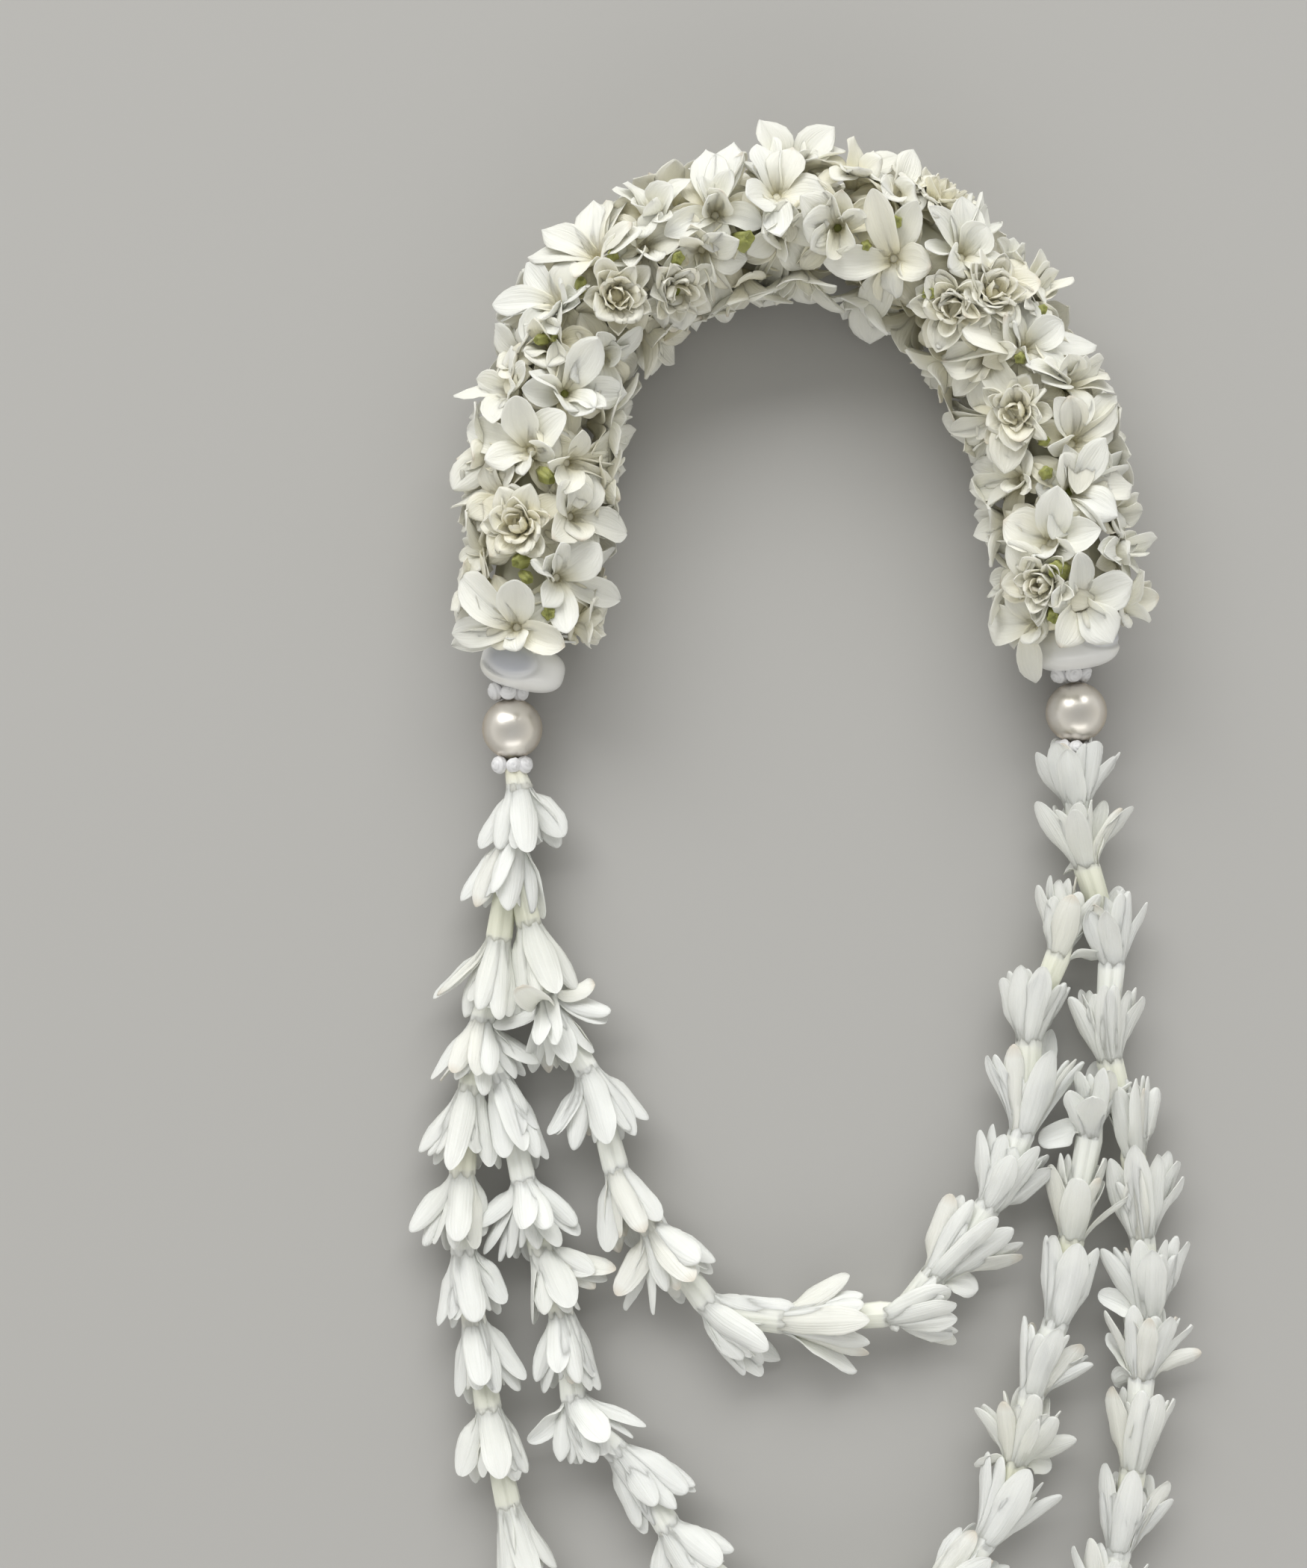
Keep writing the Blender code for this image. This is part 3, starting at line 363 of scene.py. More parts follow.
# The petals that show from above: tip x, tip y, width, all in pixels, and how high the tip lies,
# from -1 under the bloom to 1 on top of it
seenPetals = {
    ("outer", 0): [(643, 1137, 24, 0), (668, 1138, 32, 0.8), (706, 1142, 33, 1), (755, 1121, 36, 0.3),
        (747, 1136, 26, -0.5)],
    ("outer", 1): [(617, 1207, 24, 0), (637, 1215, 28, 0.6), (659, 1196, 22, 1.1), (680, 1220, 36, 0.9),
        (711, 1224, 30, 0.7), (728, 1231, 24, -0.5), (650, 1216, 22, -0.3)],
    ("outer", 2): [(580, 1338, 14, 0.2), (585, 1333, 12, 0.4), (622, 1363, 26, 0.1), (641, 1353, 30, 0.9),
        (668, 1366, 28, 1), (681, 1362, 24, 0.7), (697, 1368, 22, 0.2), (656, 1364, 24, -0.5)],
    ("outer", 3): [(578, 1446, 13, 0), (606, 1437, 28, 0.6), (621, 1440, 24, 0.2), (637, 1441, 24, 0.8),
        (656, 1440, 28, 0.9), (690, 1445, 15, 0.5), (703, 1441, 22, -0.4), (722, 1424, 20, 0.2)],
    ("outer", 4): [(561, 1543, 20, 0), (573, 1548, 20, 0.4), (581, 1560, 20, -0.3), (602, 1568, 31, 1),
        (656, 1563, 29, 0.7), (668, 1566, 14, 0), (640, 1566, 24, -0.7)],
    ("outer", 5): [(549, 1650, 25, 0.2), (567, 1669, 26, 0), (612, 1663, 35, 1), (636, 1673, 25, 0.5),
        (646, 1656, 26, 0.1), (600, 1675, 24, -0.7)],
    ("outer", 6): [(587, 1776, 19, 0.2), (605, 1779, 20, -0.2), (637, 1771, 37, 1), (676, 1746, 28, 0.4),
        (667, 1761, 22, -0.4), (612, 1768, 22, 0.6)],
    ("outer", 7): [(614, 1871, 18, 0.1), (631, 1881, 20, -0.4), (646, 1856, 35, 1), (666, 1866, 27, 0.7),
        (696, 1863, 19, -0.1), (703, 1848, 22, 0.4)],
    ("outer", 8): [(617, 1977, 32, 0.3), (637, 1987, 26, -0.7), (671, 1981, 35, 1), (660, 1979, 20, 0.2),
        (691, 1983, 26, 0.3), (706, 1973, 24, 0.3)],
    ("outer", 19): [(1438, 2070, 11, 0.2), (1462, 2060, 24, 0.9), (1475, 2066, 24, 0.6),
        (1503, 2084, 28, -0.6), (1537, 2094, 14, 0.1), (1496, 2090, 30, 1)],
    ("outer", 20): [(1481, 1959, 18, 0.5), (1476, 1998, 16, 0), (1519, 1969, 33, 1),
        (1540, 1975, 24, -0.5), (1564, 1983, 28, 0.5), (1570, 2007, 20, 0)],
    ("outer", 21): [(1490, 1856, 22, 0.4), (1504, 1857, 16, -0.2), (1530, 1862, 31, 0.9),
        (1552, 1867, 30, 0.9), (1565, 1875, 14, 0), (1571, 1872, 15, 0.2)],
    ("outer", 22): [(1479, 1755, 11, 0.3), (1518, 1748, 27, 0.7), (1540, 1765, 25, 0.9),
        (1568, 1763, 26, 0.8), (1580, 1765, 10, 0), (1595, 1773, 15, 0.4), (1609, 1811, 25, 0.3),
        (1483, 1785, 24, -0.6), (1491, 1852, 30, -0.45)],
    ("outer", 23): [(1475, 1672, 23, 0.4), (1491, 1670, 15, 0), (1506, 1675, 14, 0.1),
        (1526, 1660, 30, 0.7), (1543, 1673, 34, 1.1), (1561, 1660, 25, 0.6), (1576, 1655, 25, 0.3),
        (1590, 1662, 15, 0), (1470, 1733, 30, -0.8)],
    ("outer", 24): [(1487, 1551, 28, 0.4), (1519, 1533, 32, 1), (1514, 1548, 20, 0.8),
        (1550, 1545, 25, 0.8), (1564, 1541, 26, 0.3), (1576, 1554, 18, 0), (1584, 1575, 13, 0.1)],
    ("outer", 25): [(1496, 1455, 27, 0.7), (1508, 1445, 18, 0.2), (1521, 1444, 20, 0.9),
        (1531, 1440, 13, 0), (1537, 1441, 13, 0.2), (1549, 1456, 30, 0.3), (1545, 1480, 18, -0.3)],
    ("outer", 26): [(1432, 1335, 20, 0.3), (1447, 1325, 20, -0.6), (1459, 1326, 18, 0),
        (1479, 1319, 26, 0.9), (1492, 1319, 27, 1), (1510, 1326, 22, 0.4), (1521, 1322, 16, 0),
        (1530, 1334, 20, 0.2)],
    ("outer", 27): [(1458, 1219, 26, 0.7), (1481, 1219, 23, 1.1), (1477, 1200, 30, 0.3),
        (1503, 1190, 15, 0), (1512, 1193, 23, 0.6), (1536, 1208, 13, 0.1)],
    ("outer", 28): [(1388, 1073, 21, 0.2), (1438, 1084, 29, 1.2), (1502, 1082, 21, 0.6),
        (1517, 1080, 18, 0.1), (1412, 1078, 18, -0.5), (1479, 1072, 22, -0.5), (1427, 1165, 20, -0.6)],
    ("outer", 29): [(1388, 1007, 19, 0.2), (1403, 1015, 14, 0), (1413, 994, 30, 0.6), (1428, 1003, 30, 1),
        (1468, 992, 36, 0.8), (1494, 1013, 19, 0.3), (1500, 1007, 9, 0)],
    ("middle", 0): [(677, 1551, 34, 0.9), (663, 1549, 22, 0.2), (721, 1551, 24, 0.6),
        (733, 1553, 17, 0.1), (718, 1566, 26, -0.7), (702, 1542, 24, 0.8)],
    ("middle", 1): [(632, 1641, 22, 0.3), (648, 1680, 14, 0), (668, 1690, 14, -0.2), (682, 1685, 16, 0.3),
        (704, 1646, 32, 1.2), (734, 1646, 31, 1.1), (772, 1642, 28, 0.5), (775, 1655, 22, 0),
        (693, 1686, 22, -0.6), (712, 1690, 24, -0.7)],
    ("middle", 2): [(765, 1751, 36, 0.9), (743, 1765, 30, 0.2), (796, 1705, 29, 0.8), (797, 1726, 26, 0),
        (813, 1715, 22, -0.2), (825, 1701, 18, 0.2)],
    ("middle", 3): [(718, 1851, 24, 0.3), (728, 1866, 18, -0.2), (748, 1839, 29, 1), (776, 1853, 24, 0.9),
        (790, 1863, 20, 0.4), (803, 1862, 18, 0.1), (741, 1860, 24, -0.7)],
    ("middle", 4): [(707, 1931, 28, -0.5), (750, 1958, 25, 0.5), (764, 1961, 21, 0.1),
        (776, 1961, 22, -0.6), (811, 1948, 32, 0.5), (812, 1931, 34, 1.1), (848, 1926, 9, 0.2),
        (865, 1911, 11, 0.4)],
    ("middle", 5): [(866, 2053, 22, 0), (856, 2046, 22, 0.5), (877, 2043, 24, 0.3), (921, 1999, 35, 1),
        (906, 2021, 30, 0.6), (931, 1990, 20, 0.4), (932, 1998, 16, 0)],
    ("middle", 6): [(966, 2096, 40, 0.9), (983, 2077, 22, 0.2), (905, 2140, 24, 0.1),
        (935, 2130, 30, 0.7), (880, 2125, 24, 0.3)],
    ("middle", 10): [(1307, 2051, 24, 0.6), (1288, 2046, 16, 0.2), (1330, 2090, 26, 0.2)],
    ("middle", 11): [(1323, 1944, 13, 0.3), (1342, 1951, 19, 0.7), (1379, 1968, 36, 1),
        (1397, 1985, 14, 0.1), (1422, 2003, 21, 0.3)],
    ("middle", 12): [(1306, 1885, 19, 0.4), (1317, 1880, 17, 0.2), (1344, 1877, 26, 0.9),
        (1388, 1868, 31, 0.9), (1402, 1882, 20, -0.5), (1391, 1901, 12, 1.3), (1414, 1898, 30, 0.8),
        (1442, 1928, 27, -0.3), (1408, 1964, 26, -0.7), (1304, 1961, 15, 0)],
    ("middle", 13): [(1371, 1762, 10, 0.2), (1401, 1772, 16, 0), (1418, 1778, 28, 0.9),
        (1448, 1800, 33, 1), (1456, 1815, 18, 0.1), (1464, 1827, 21, 0.2)],
    ("middle", 14): [(1401, 1654, 13, 0.3), (1413, 1654, 20, 0.6), (1421, 1668, 20, 0),
        (1445, 1665, 38, 1), (1470, 1671, 27, 0.3), (1464, 1675, 18, -0.2)],
    ("middle", 15): [(1408, 1559, 19, 0.4), (1420, 1544, 12, 0.2), (1430, 1545, 13, -0.1),
        (1441, 1560, 20, 0.1), (1446, 1578, 36, 1.1), (1470, 1560, 18, 0), (1478, 1550, 17, 0.4),
        (1522, 1596, 10, 1.4)],
    ("middle", 16): [(1432, 1460, 27, 0.9), (1450, 1440, 19, 0.2), (1460, 1438, 18, 0.4),
        (1471, 1439, 16, 0), (1463, 1468, 33, 1.5), (1478, 1430, 19, 0.9), (1390, 1528, 34, -0.8)],
    ("inner", 0): [(745, 1331, 36, 0.9), (772, 1326, 26, 0.3), (752, 1341, 28, 0), (705, 1340, 30, 0.5),
        (765, 1338, 18, -0.3)],
    ("inner", 1): [(696, 1322, 42, 1.3), (797, 1318, 18, 0.7), (818, 1355, 20, 0.6), (812, 1370, 18, 0.2),
        (660, 1375, 18, 0.8), (722, 1400, 24, 1), (747, 1399, 22, 0.9), (713, 1437, 22, -0.5),
        (735, 1437, 26, -0.6), (757, 1434, 22, -0.6)],
    ("inner", 2): [(735, 1520, 19, 0.1), (746, 1520, 18, 0.3), (768, 1541, 33, 0.9),
        (790, 1521, 22, -0.2), (815, 1532, 38, 1), (851, 1521, 27, 0.5), (868, 1500, 22, 0.2),
        (832, 1527, 20, 0)],
    ("inner", 3): [(814, 1677, 33, 0.5), (830, 1678, 24, -0.6), (863, 1651, 35, 1), (884, 1635, 28, 0.7),
        (896, 1655, 22, 0.1), (852, 1672, 28, -0.8)],
    ("inner", 4): [(825, 1735, 31, 0.7), (838, 1756, 16, -0.5), (876, 1761, 11, 0.4),
        (893, 1730, 24, 0.6), (908, 1738, 24, -0.3), (915, 1746, 26, -0.8), (929, 1716, 36, 1),
        (937, 1690, 40, 1.2), (958, 1690, 20, 0.4), (954, 1706, 22, 0)],
    ("inner", 5): [(1065, 1755, 24, 0.5), (1052, 1768, 32, 0.8), (1029, 1808, 36, 1),
        (995, 1821, 26, 0.5), (997, 1842, 19, 0), (1021, 1842, 24, -0.6), (1022, 1826, 28, -0.2),
        (1045, 1822, 30, -0.8)],
    ("inner", 6): [(1138, 1708, 20, 0.3), (1156, 1734, 20, 0.5), (1157, 1746, 22, 0.8),
        (1165, 1768, 33, 1.1), (1165, 1799, 26, 0.6), (1164, 1813, 22, 0.1), (1148, 1837, 18, -0.7)],
    ("inner", 7): [(1273, 1727, 40, 0.7), (1281, 1746, 24, 1), (1282, 1765, 28, 1), (1283, 1783, 20, 0.7),
        (1276, 1787, 30, 0.6), (1281, 1797, 22, 0), (1202, 1783, 10, 0.2)],
    ("inner", 8): [(1275, 1599, 31, 0.4), (1290, 1601, 18, 0), (1303, 1607, 26, 0.7), (1336, 1630, 26, 1),
        (1357, 1645, 36, 0.9), (1370, 1664, 22, 0.3), (1369, 1681, 20, 0), (1310, 1727, 30, -0.8)],
    ("inner", 9): [(1313, 1513, 15, 0.2), (1330, 1505, 15, 0), (1346, 1519, 24, 0.5),
        (1357, 1548, 29, 1.1), (1391, 1535, 27, 0.8), (1403, 1546, 18, 0.1), (1408, 1564, 26, 0.4)],
    ("inner", 10): [(1322, 1413, 11, 0), (1332, 1412, 19, 0.4), (1358, 1398, 33, 0.9),
        (1408, 1406, 36, 0.9), (1431, 1420, 16, 0), (1441, 1418, 16, 0.3), (1452, 1422, 17, 0.1),
        (1408, 1378, 34, -0.8)],
    ("inner", 11): [(1343, 1309, 22, 0.3), (1351, 1300, 16, -0.2), (1367, 1292, 29, 0.9),
        (1398, 1294, 29, 0.8), (1427, 1316, 20, 0.3), (1433, 1322, 16, 0)],
    ("inner", 12): [(1390, 1185, 15, 0.2), (1407, 1172, 8, 0.3), (1420, 1178, 21, 0.5),
        (1431, 1176, 16, 0), (1437, 1198, 35, 1), (1412, 1200, 24, 0.6), (1478, 1279, 14, 0.3)],
}

bloomShape = {
    "tube": [0.0018, 0.0025, 0.0028, 0.0030, 0.0033, 0.0035, 0.0027, 0.0016],      # radii from the foot
    "back": 0.0048,            # its petals part from the tube this far before the mouth
    "bell": 0.0088,            # radius at the tips of a bloom that opens 32 degrees
    "reach": 0.0158,           # tips beyond the mouth
    "seenWidth": 1.15,
    "outerPetals": 6,
    "innerPetals": 6,
    "width": 0.0076,
    "leastGap": 0.5,           # in radians: a gap that takes no further petal
    "usualGap": 1.05,
    "widestBell": 0.0150,
    "usualOpening": 32,        # in degrees
    # spans of how far out, how long and how wide the petals by rule are
    "outer": [(0.85, 1.05), (0.9, 1.06), (0.85, 1.1)],
    "inner": [(0.50, 0.78), (0.78, 0.97), (0.75, 0.95)],
    "cup": (0.0048, 0.0078),   # radius across a petal towards its tip
    "tipPower": (0.95, 1.35),  # more is more pointed
    "twist": (-0.15, 0.15),
    "roll": (-0.0007, 0.0005),
    "mostBase": 0.0027,
    "whiteFrom": 0.36,         # a petal is marked as white from here on, since the tube is its base
    "fullFrom": 0.34,
}

# How the loops are shared out among their pieces, as in the part
forked = [("left_head", [("outer", 0, 2), ("inner", 0, 0)]),
          ("left_fork", [("outer", 3, 4), ("middle", 0, 0)])]
runs = [("outer", 5, 29, 12), ("middle", 1, 16, 8), ("inner", 1, 12, 6)]


def loopPieces():
    pieces = list(forked)
    for loop, first, last, count in runs:
        total = last - first + 1
        for number in range(count):
            start = first + total * number // count
            end = first + total * (number + 1) // count - 1
            pieces.append((f"{loop}_blooms_{number + 1}", [(loop, start, end)]))
    return pieces


def loopBlooms():
    starts = {"outer": stringStart, "middle": loops["outer"][3][:2], "inner": loops["outer"][1][:2]}
    blooms = {}
    for loop, route in loops.items():
        foot = spot(*starts[loop], sight["loopHeight"])
        before = None
        for index, (x, y, opening) in enumerate(route):
            mouth = spot(x, y, sight["loopHeight"])
            way = unit(mouth - foot)
            bloom = {"foot": foot, "mouth": mouth, "way": way, "facing": way, "opening": opening}
            if before:
                before["facing"] = unit(before["way"] + way)
                bloom["footWay"] = before["facing"]
            blooms[loop, index] = bloom
            before = bloom
            foot = mouth
    return blooms


def tipPlace(bloom, x, y, lift, bell):
    # a seen tip's place: its pixel, and the bell's height there
    height = sight["loopHeight"]
    for _ in range(3):
        place = spot(x, y, height)
        sideways = np.linalg.norm(across(place - bloom["mouth"], bloom["facing"])[:2])
        rise = math.sqrt(max(bell ** 2 - sideways ** 2, (0.3 * bell) ** 2))
        height = max(0.0006, sight["loopHeight"] + lift * rise)
    return spot(x, y, height)


def strungPetal(heap, luck, bloom, tip, width, back, ring, kind, shown=None, hidden=0.0):
    facing = bloom["facing"]
    root = bloom["mouth"] - bloom["way"] * back
    outward = unit(across(tip - root, facing))
    start = root + outward * ring
    reach = np.linalg.norm(tip - start)
    straight = unit(tip - start)
    spread = spreadOf(straight, facing)
    endWay = unit(straight + facing * 0.16 * max(0, 1 - spread / 0.6)
                  + (outward - facing * 0.3) * max(0, spread - 0.6))
    spine = (start, start + bloom["way"] * reach * 0.30, tip - endWay * reach * 0.34, tip)
    face = None
    if shown:
        share = min(0.97, max(0.60, 1.15 * shown / width))
        face = rolledFace(straight, facing, outward, share, hidden)
    shape = bloomShape
    cup = (ring, luck.uniform(*shape["cup"]))
    petal(heap, luck, spine, -outward, width, min(shape["mostBase"], width * 0.38), cup, kind,
          tipPower=luck.uniform(*shape["tipPower"]), twist=luck.uniform(*shape["twist"]),
          roll=luck.uniform(*shape["roll"]), whiteFrom=shape["whiteFrom"], fullFrom=shape["fullFrom"],
          face=face)


def strungBloom(heap, luck, bloom, seen):
    shape = bloomShape
    way = bloom["way"]
    length = np.linalg.norm(bloom["mouth"] - bloom["foot"])
    lean = bloom.get("footWay", way)
    places = [bloom["foot"] - lean * 0.0032, bloom["foot"] - lean * 0.0012]
    places += [bloom["foot"] + way * length * share for share in (0.12, 0.35, 0.6, 0.82)]
    places += [bloom["mouth"], bloom["mouth"] + bloom["facing"] * 0.0018]
    greenness = luck.random() ** 2
    tube(heap, luck, places, shape["tube"], 0.32 * greenness, sides=24, lobes=6, ridge=0.045,
         marksFrom=0.14, marksTo=0.75)

    opening = math.radians(bloom["opening"])
    usual = math.sin(math.radians(shape["usualOpening"]))
    bell = min(shape["bell"] * (0.55 + 0.45 * math.sin(opening) / usual), shape["widestBell"])
    up, side = axesAt(bloom["facing"])
    back = min(shape["back"], 0.45 * length)
    ring = shape["tube"][5] - 0.0003
    taken = []
    kind = 0.12 * greenness
    for x, y, width, lift in seen:
        tip = tipPlace(bloom, x, y, lift, bell)
        outward = unit(across(tip - bloom["mouth"], bloom["facing"]))
        taken.append(math.atan2(np.dot(outward, side), np.dot(outward, up)))
        shown = width * sight["metresPerPixel"]
        full = max(shown * shape["seenWidth"], min(shape["width"] * luck.uniform(0.75, 0.92), shown * 1.7))
        strungPetal(heap, luck, bloom, tip, full, back, ring, kind, shown, 0.75 if lift > -0.35 else -0.15)

    def ruled(turn, spans, back, ring):
        wide, size, width = draw(luck, spans)
        tip = bloom["mouth"] + bloom["facing"] * shape["reach"] * size + around(up, side, turn) * bell * wide
        strungPetal(heap, luck, bloom, tip, shape["width"] * width, back, ring, kind)

    # other petals stand in the gaps between the seen ones, most of them underneath
    while len(taken) < shape["outerPetals"] + (1 if seen else 0):
        if not taken:
            turn = luck.random() * math.tau
        else:
            gap, first = widestGap(taken)
            if gap < shape["leastGap"]:
                break
            turn = first + gap / max(2, round(gap / shape["usualGap"]))
        taken.append(turn)
        ruled(turn, shape["outer"], back, ring)
    for turn in turnsRound(luck, shape["innerPetals"], 0.15):
        ruled(turn, shape["inner"], back * 0.4, ring * 0.8)


# The garland

garlandAxisPixels = [
    (704, 856), (710, 800), (718, 740), (723, 680), (728, 620), (736, 560), (752, 500),
    (780, 440), (828, 380), (900, 335), (980, 308), (1062, 297), (1140, 306), (1205, 332),
    (1264, 375), (1312, 428), (1355, 488), (1388, 552), (1404, 620), (1416, 680),
    (1426, 740), (1430, 785), (1430, 828),
]
garland = {
    "height": 0.0200,
    "endHeight": 0.0165,
    "throat": 0.0135,          # from the axis to the mouths
    "spacing": 0.0142,
    "parts": 10,
    "coreRadius": 0.0092,
    "cupDepth": 0.0030,
    "reach": 0.0212,           # from the axis to the unseen petals' tips
    "under": 0.0158,           # the same where they lie beneath petals that are seen
    "backPetals": 4,
    "mostAdded": 9,            # petals that a bloom may get by rule round its throat
    "tube": [0.0026, 0.0024, 0.0022],      # radii from the core outwards
    "tubeEnd": (0.0006, 0.0016),           # how far past the neck, and its radius
    "budEnd": (0.0052, 0.0009),            # the same for the bud in a rose's middle
    "cup": (0.0060, 0.0110),   # radius across a petal towards its tip
    "curledCup": (0.0026, 0.0040),
    "tipPower": (1.35, 2.1),
    "twist": (-0.22, 0.22),
    "roll": (-0.0010, 0.0008),
    "backDepth": 0.0045,
    # how creamy and dark the petals folded beneath are: painted shade
    "backShadeKind": -0.9,
}
# Width of a petal, how warm its white is (the rose's own cream, and painted shade on the half and side kinds
# that face sideways or down), how far it opens in radians, and how many stand round the throat and inside
bloomKinds = {
    "star": {"width": 0.0082, "warmthAndShade": 0.16, "opening": 1.25, "petals": 5, "inner": 0},
    "half": {"width": 0.0076, "warmthAndShade": 0.30, "opening": 0.95, "petals": 5, "inner": 2},
    "rose": {"width": 0.0060, "warmthAndShade": 0.42, "opening": 1.20, "petals": 5, "inner": 0},
    "side": {"width": 0.0078, "warmthAndShade": 0.38, "opening": 1.00, "petals": 6, "inner": 4},
}
# Layers of a rose from the outside in: petals, opening, length, width and curl
roseLayers = [(5, 1.10, 0.0116, 0.0080, 0.10), (5, 0.80, 0.0106, 0.0070, 0.30),
              (5, 0.52, 0.0094, 0.0056, 0.45), (3, 0.22, 0.0082, 0.0046, 0.55)]
# Petals by rule: spans of how far they open in radians, of their length and of their width
ruledSpans = {
    "round": [(-0.12, 0.15), (0.0135, 0.0165), (0.0084, 0.0102)],      # added to the opening of its kind
    "inner": [(0.3, 0.85), (0.0085, 0.0125), (0.0055, 0.0072)],
    "back": [(1.55, 1.9), (0.0115, 0.0150), (0.0070, 0.0092)],
    "rose": [(-0.1, 0.1), (0.9, 1.08), (0.85, 1.1)],           # its layer's opening plus, its size times
}
endPetals = {
    "fans": [(9, 0.0150, 0.0000), (8, 0.0125, 0.0006), (7, 0.0095, 0.0011)],   # how many, far out and high
    "width": 0.0082,
    "base": 0.0018,
    "cup": (0.008, 0.014),
    "tipPower": (1.25, 1.7),
    "twist": (-0.2, 0.2),
    "kind": 0.03,
}

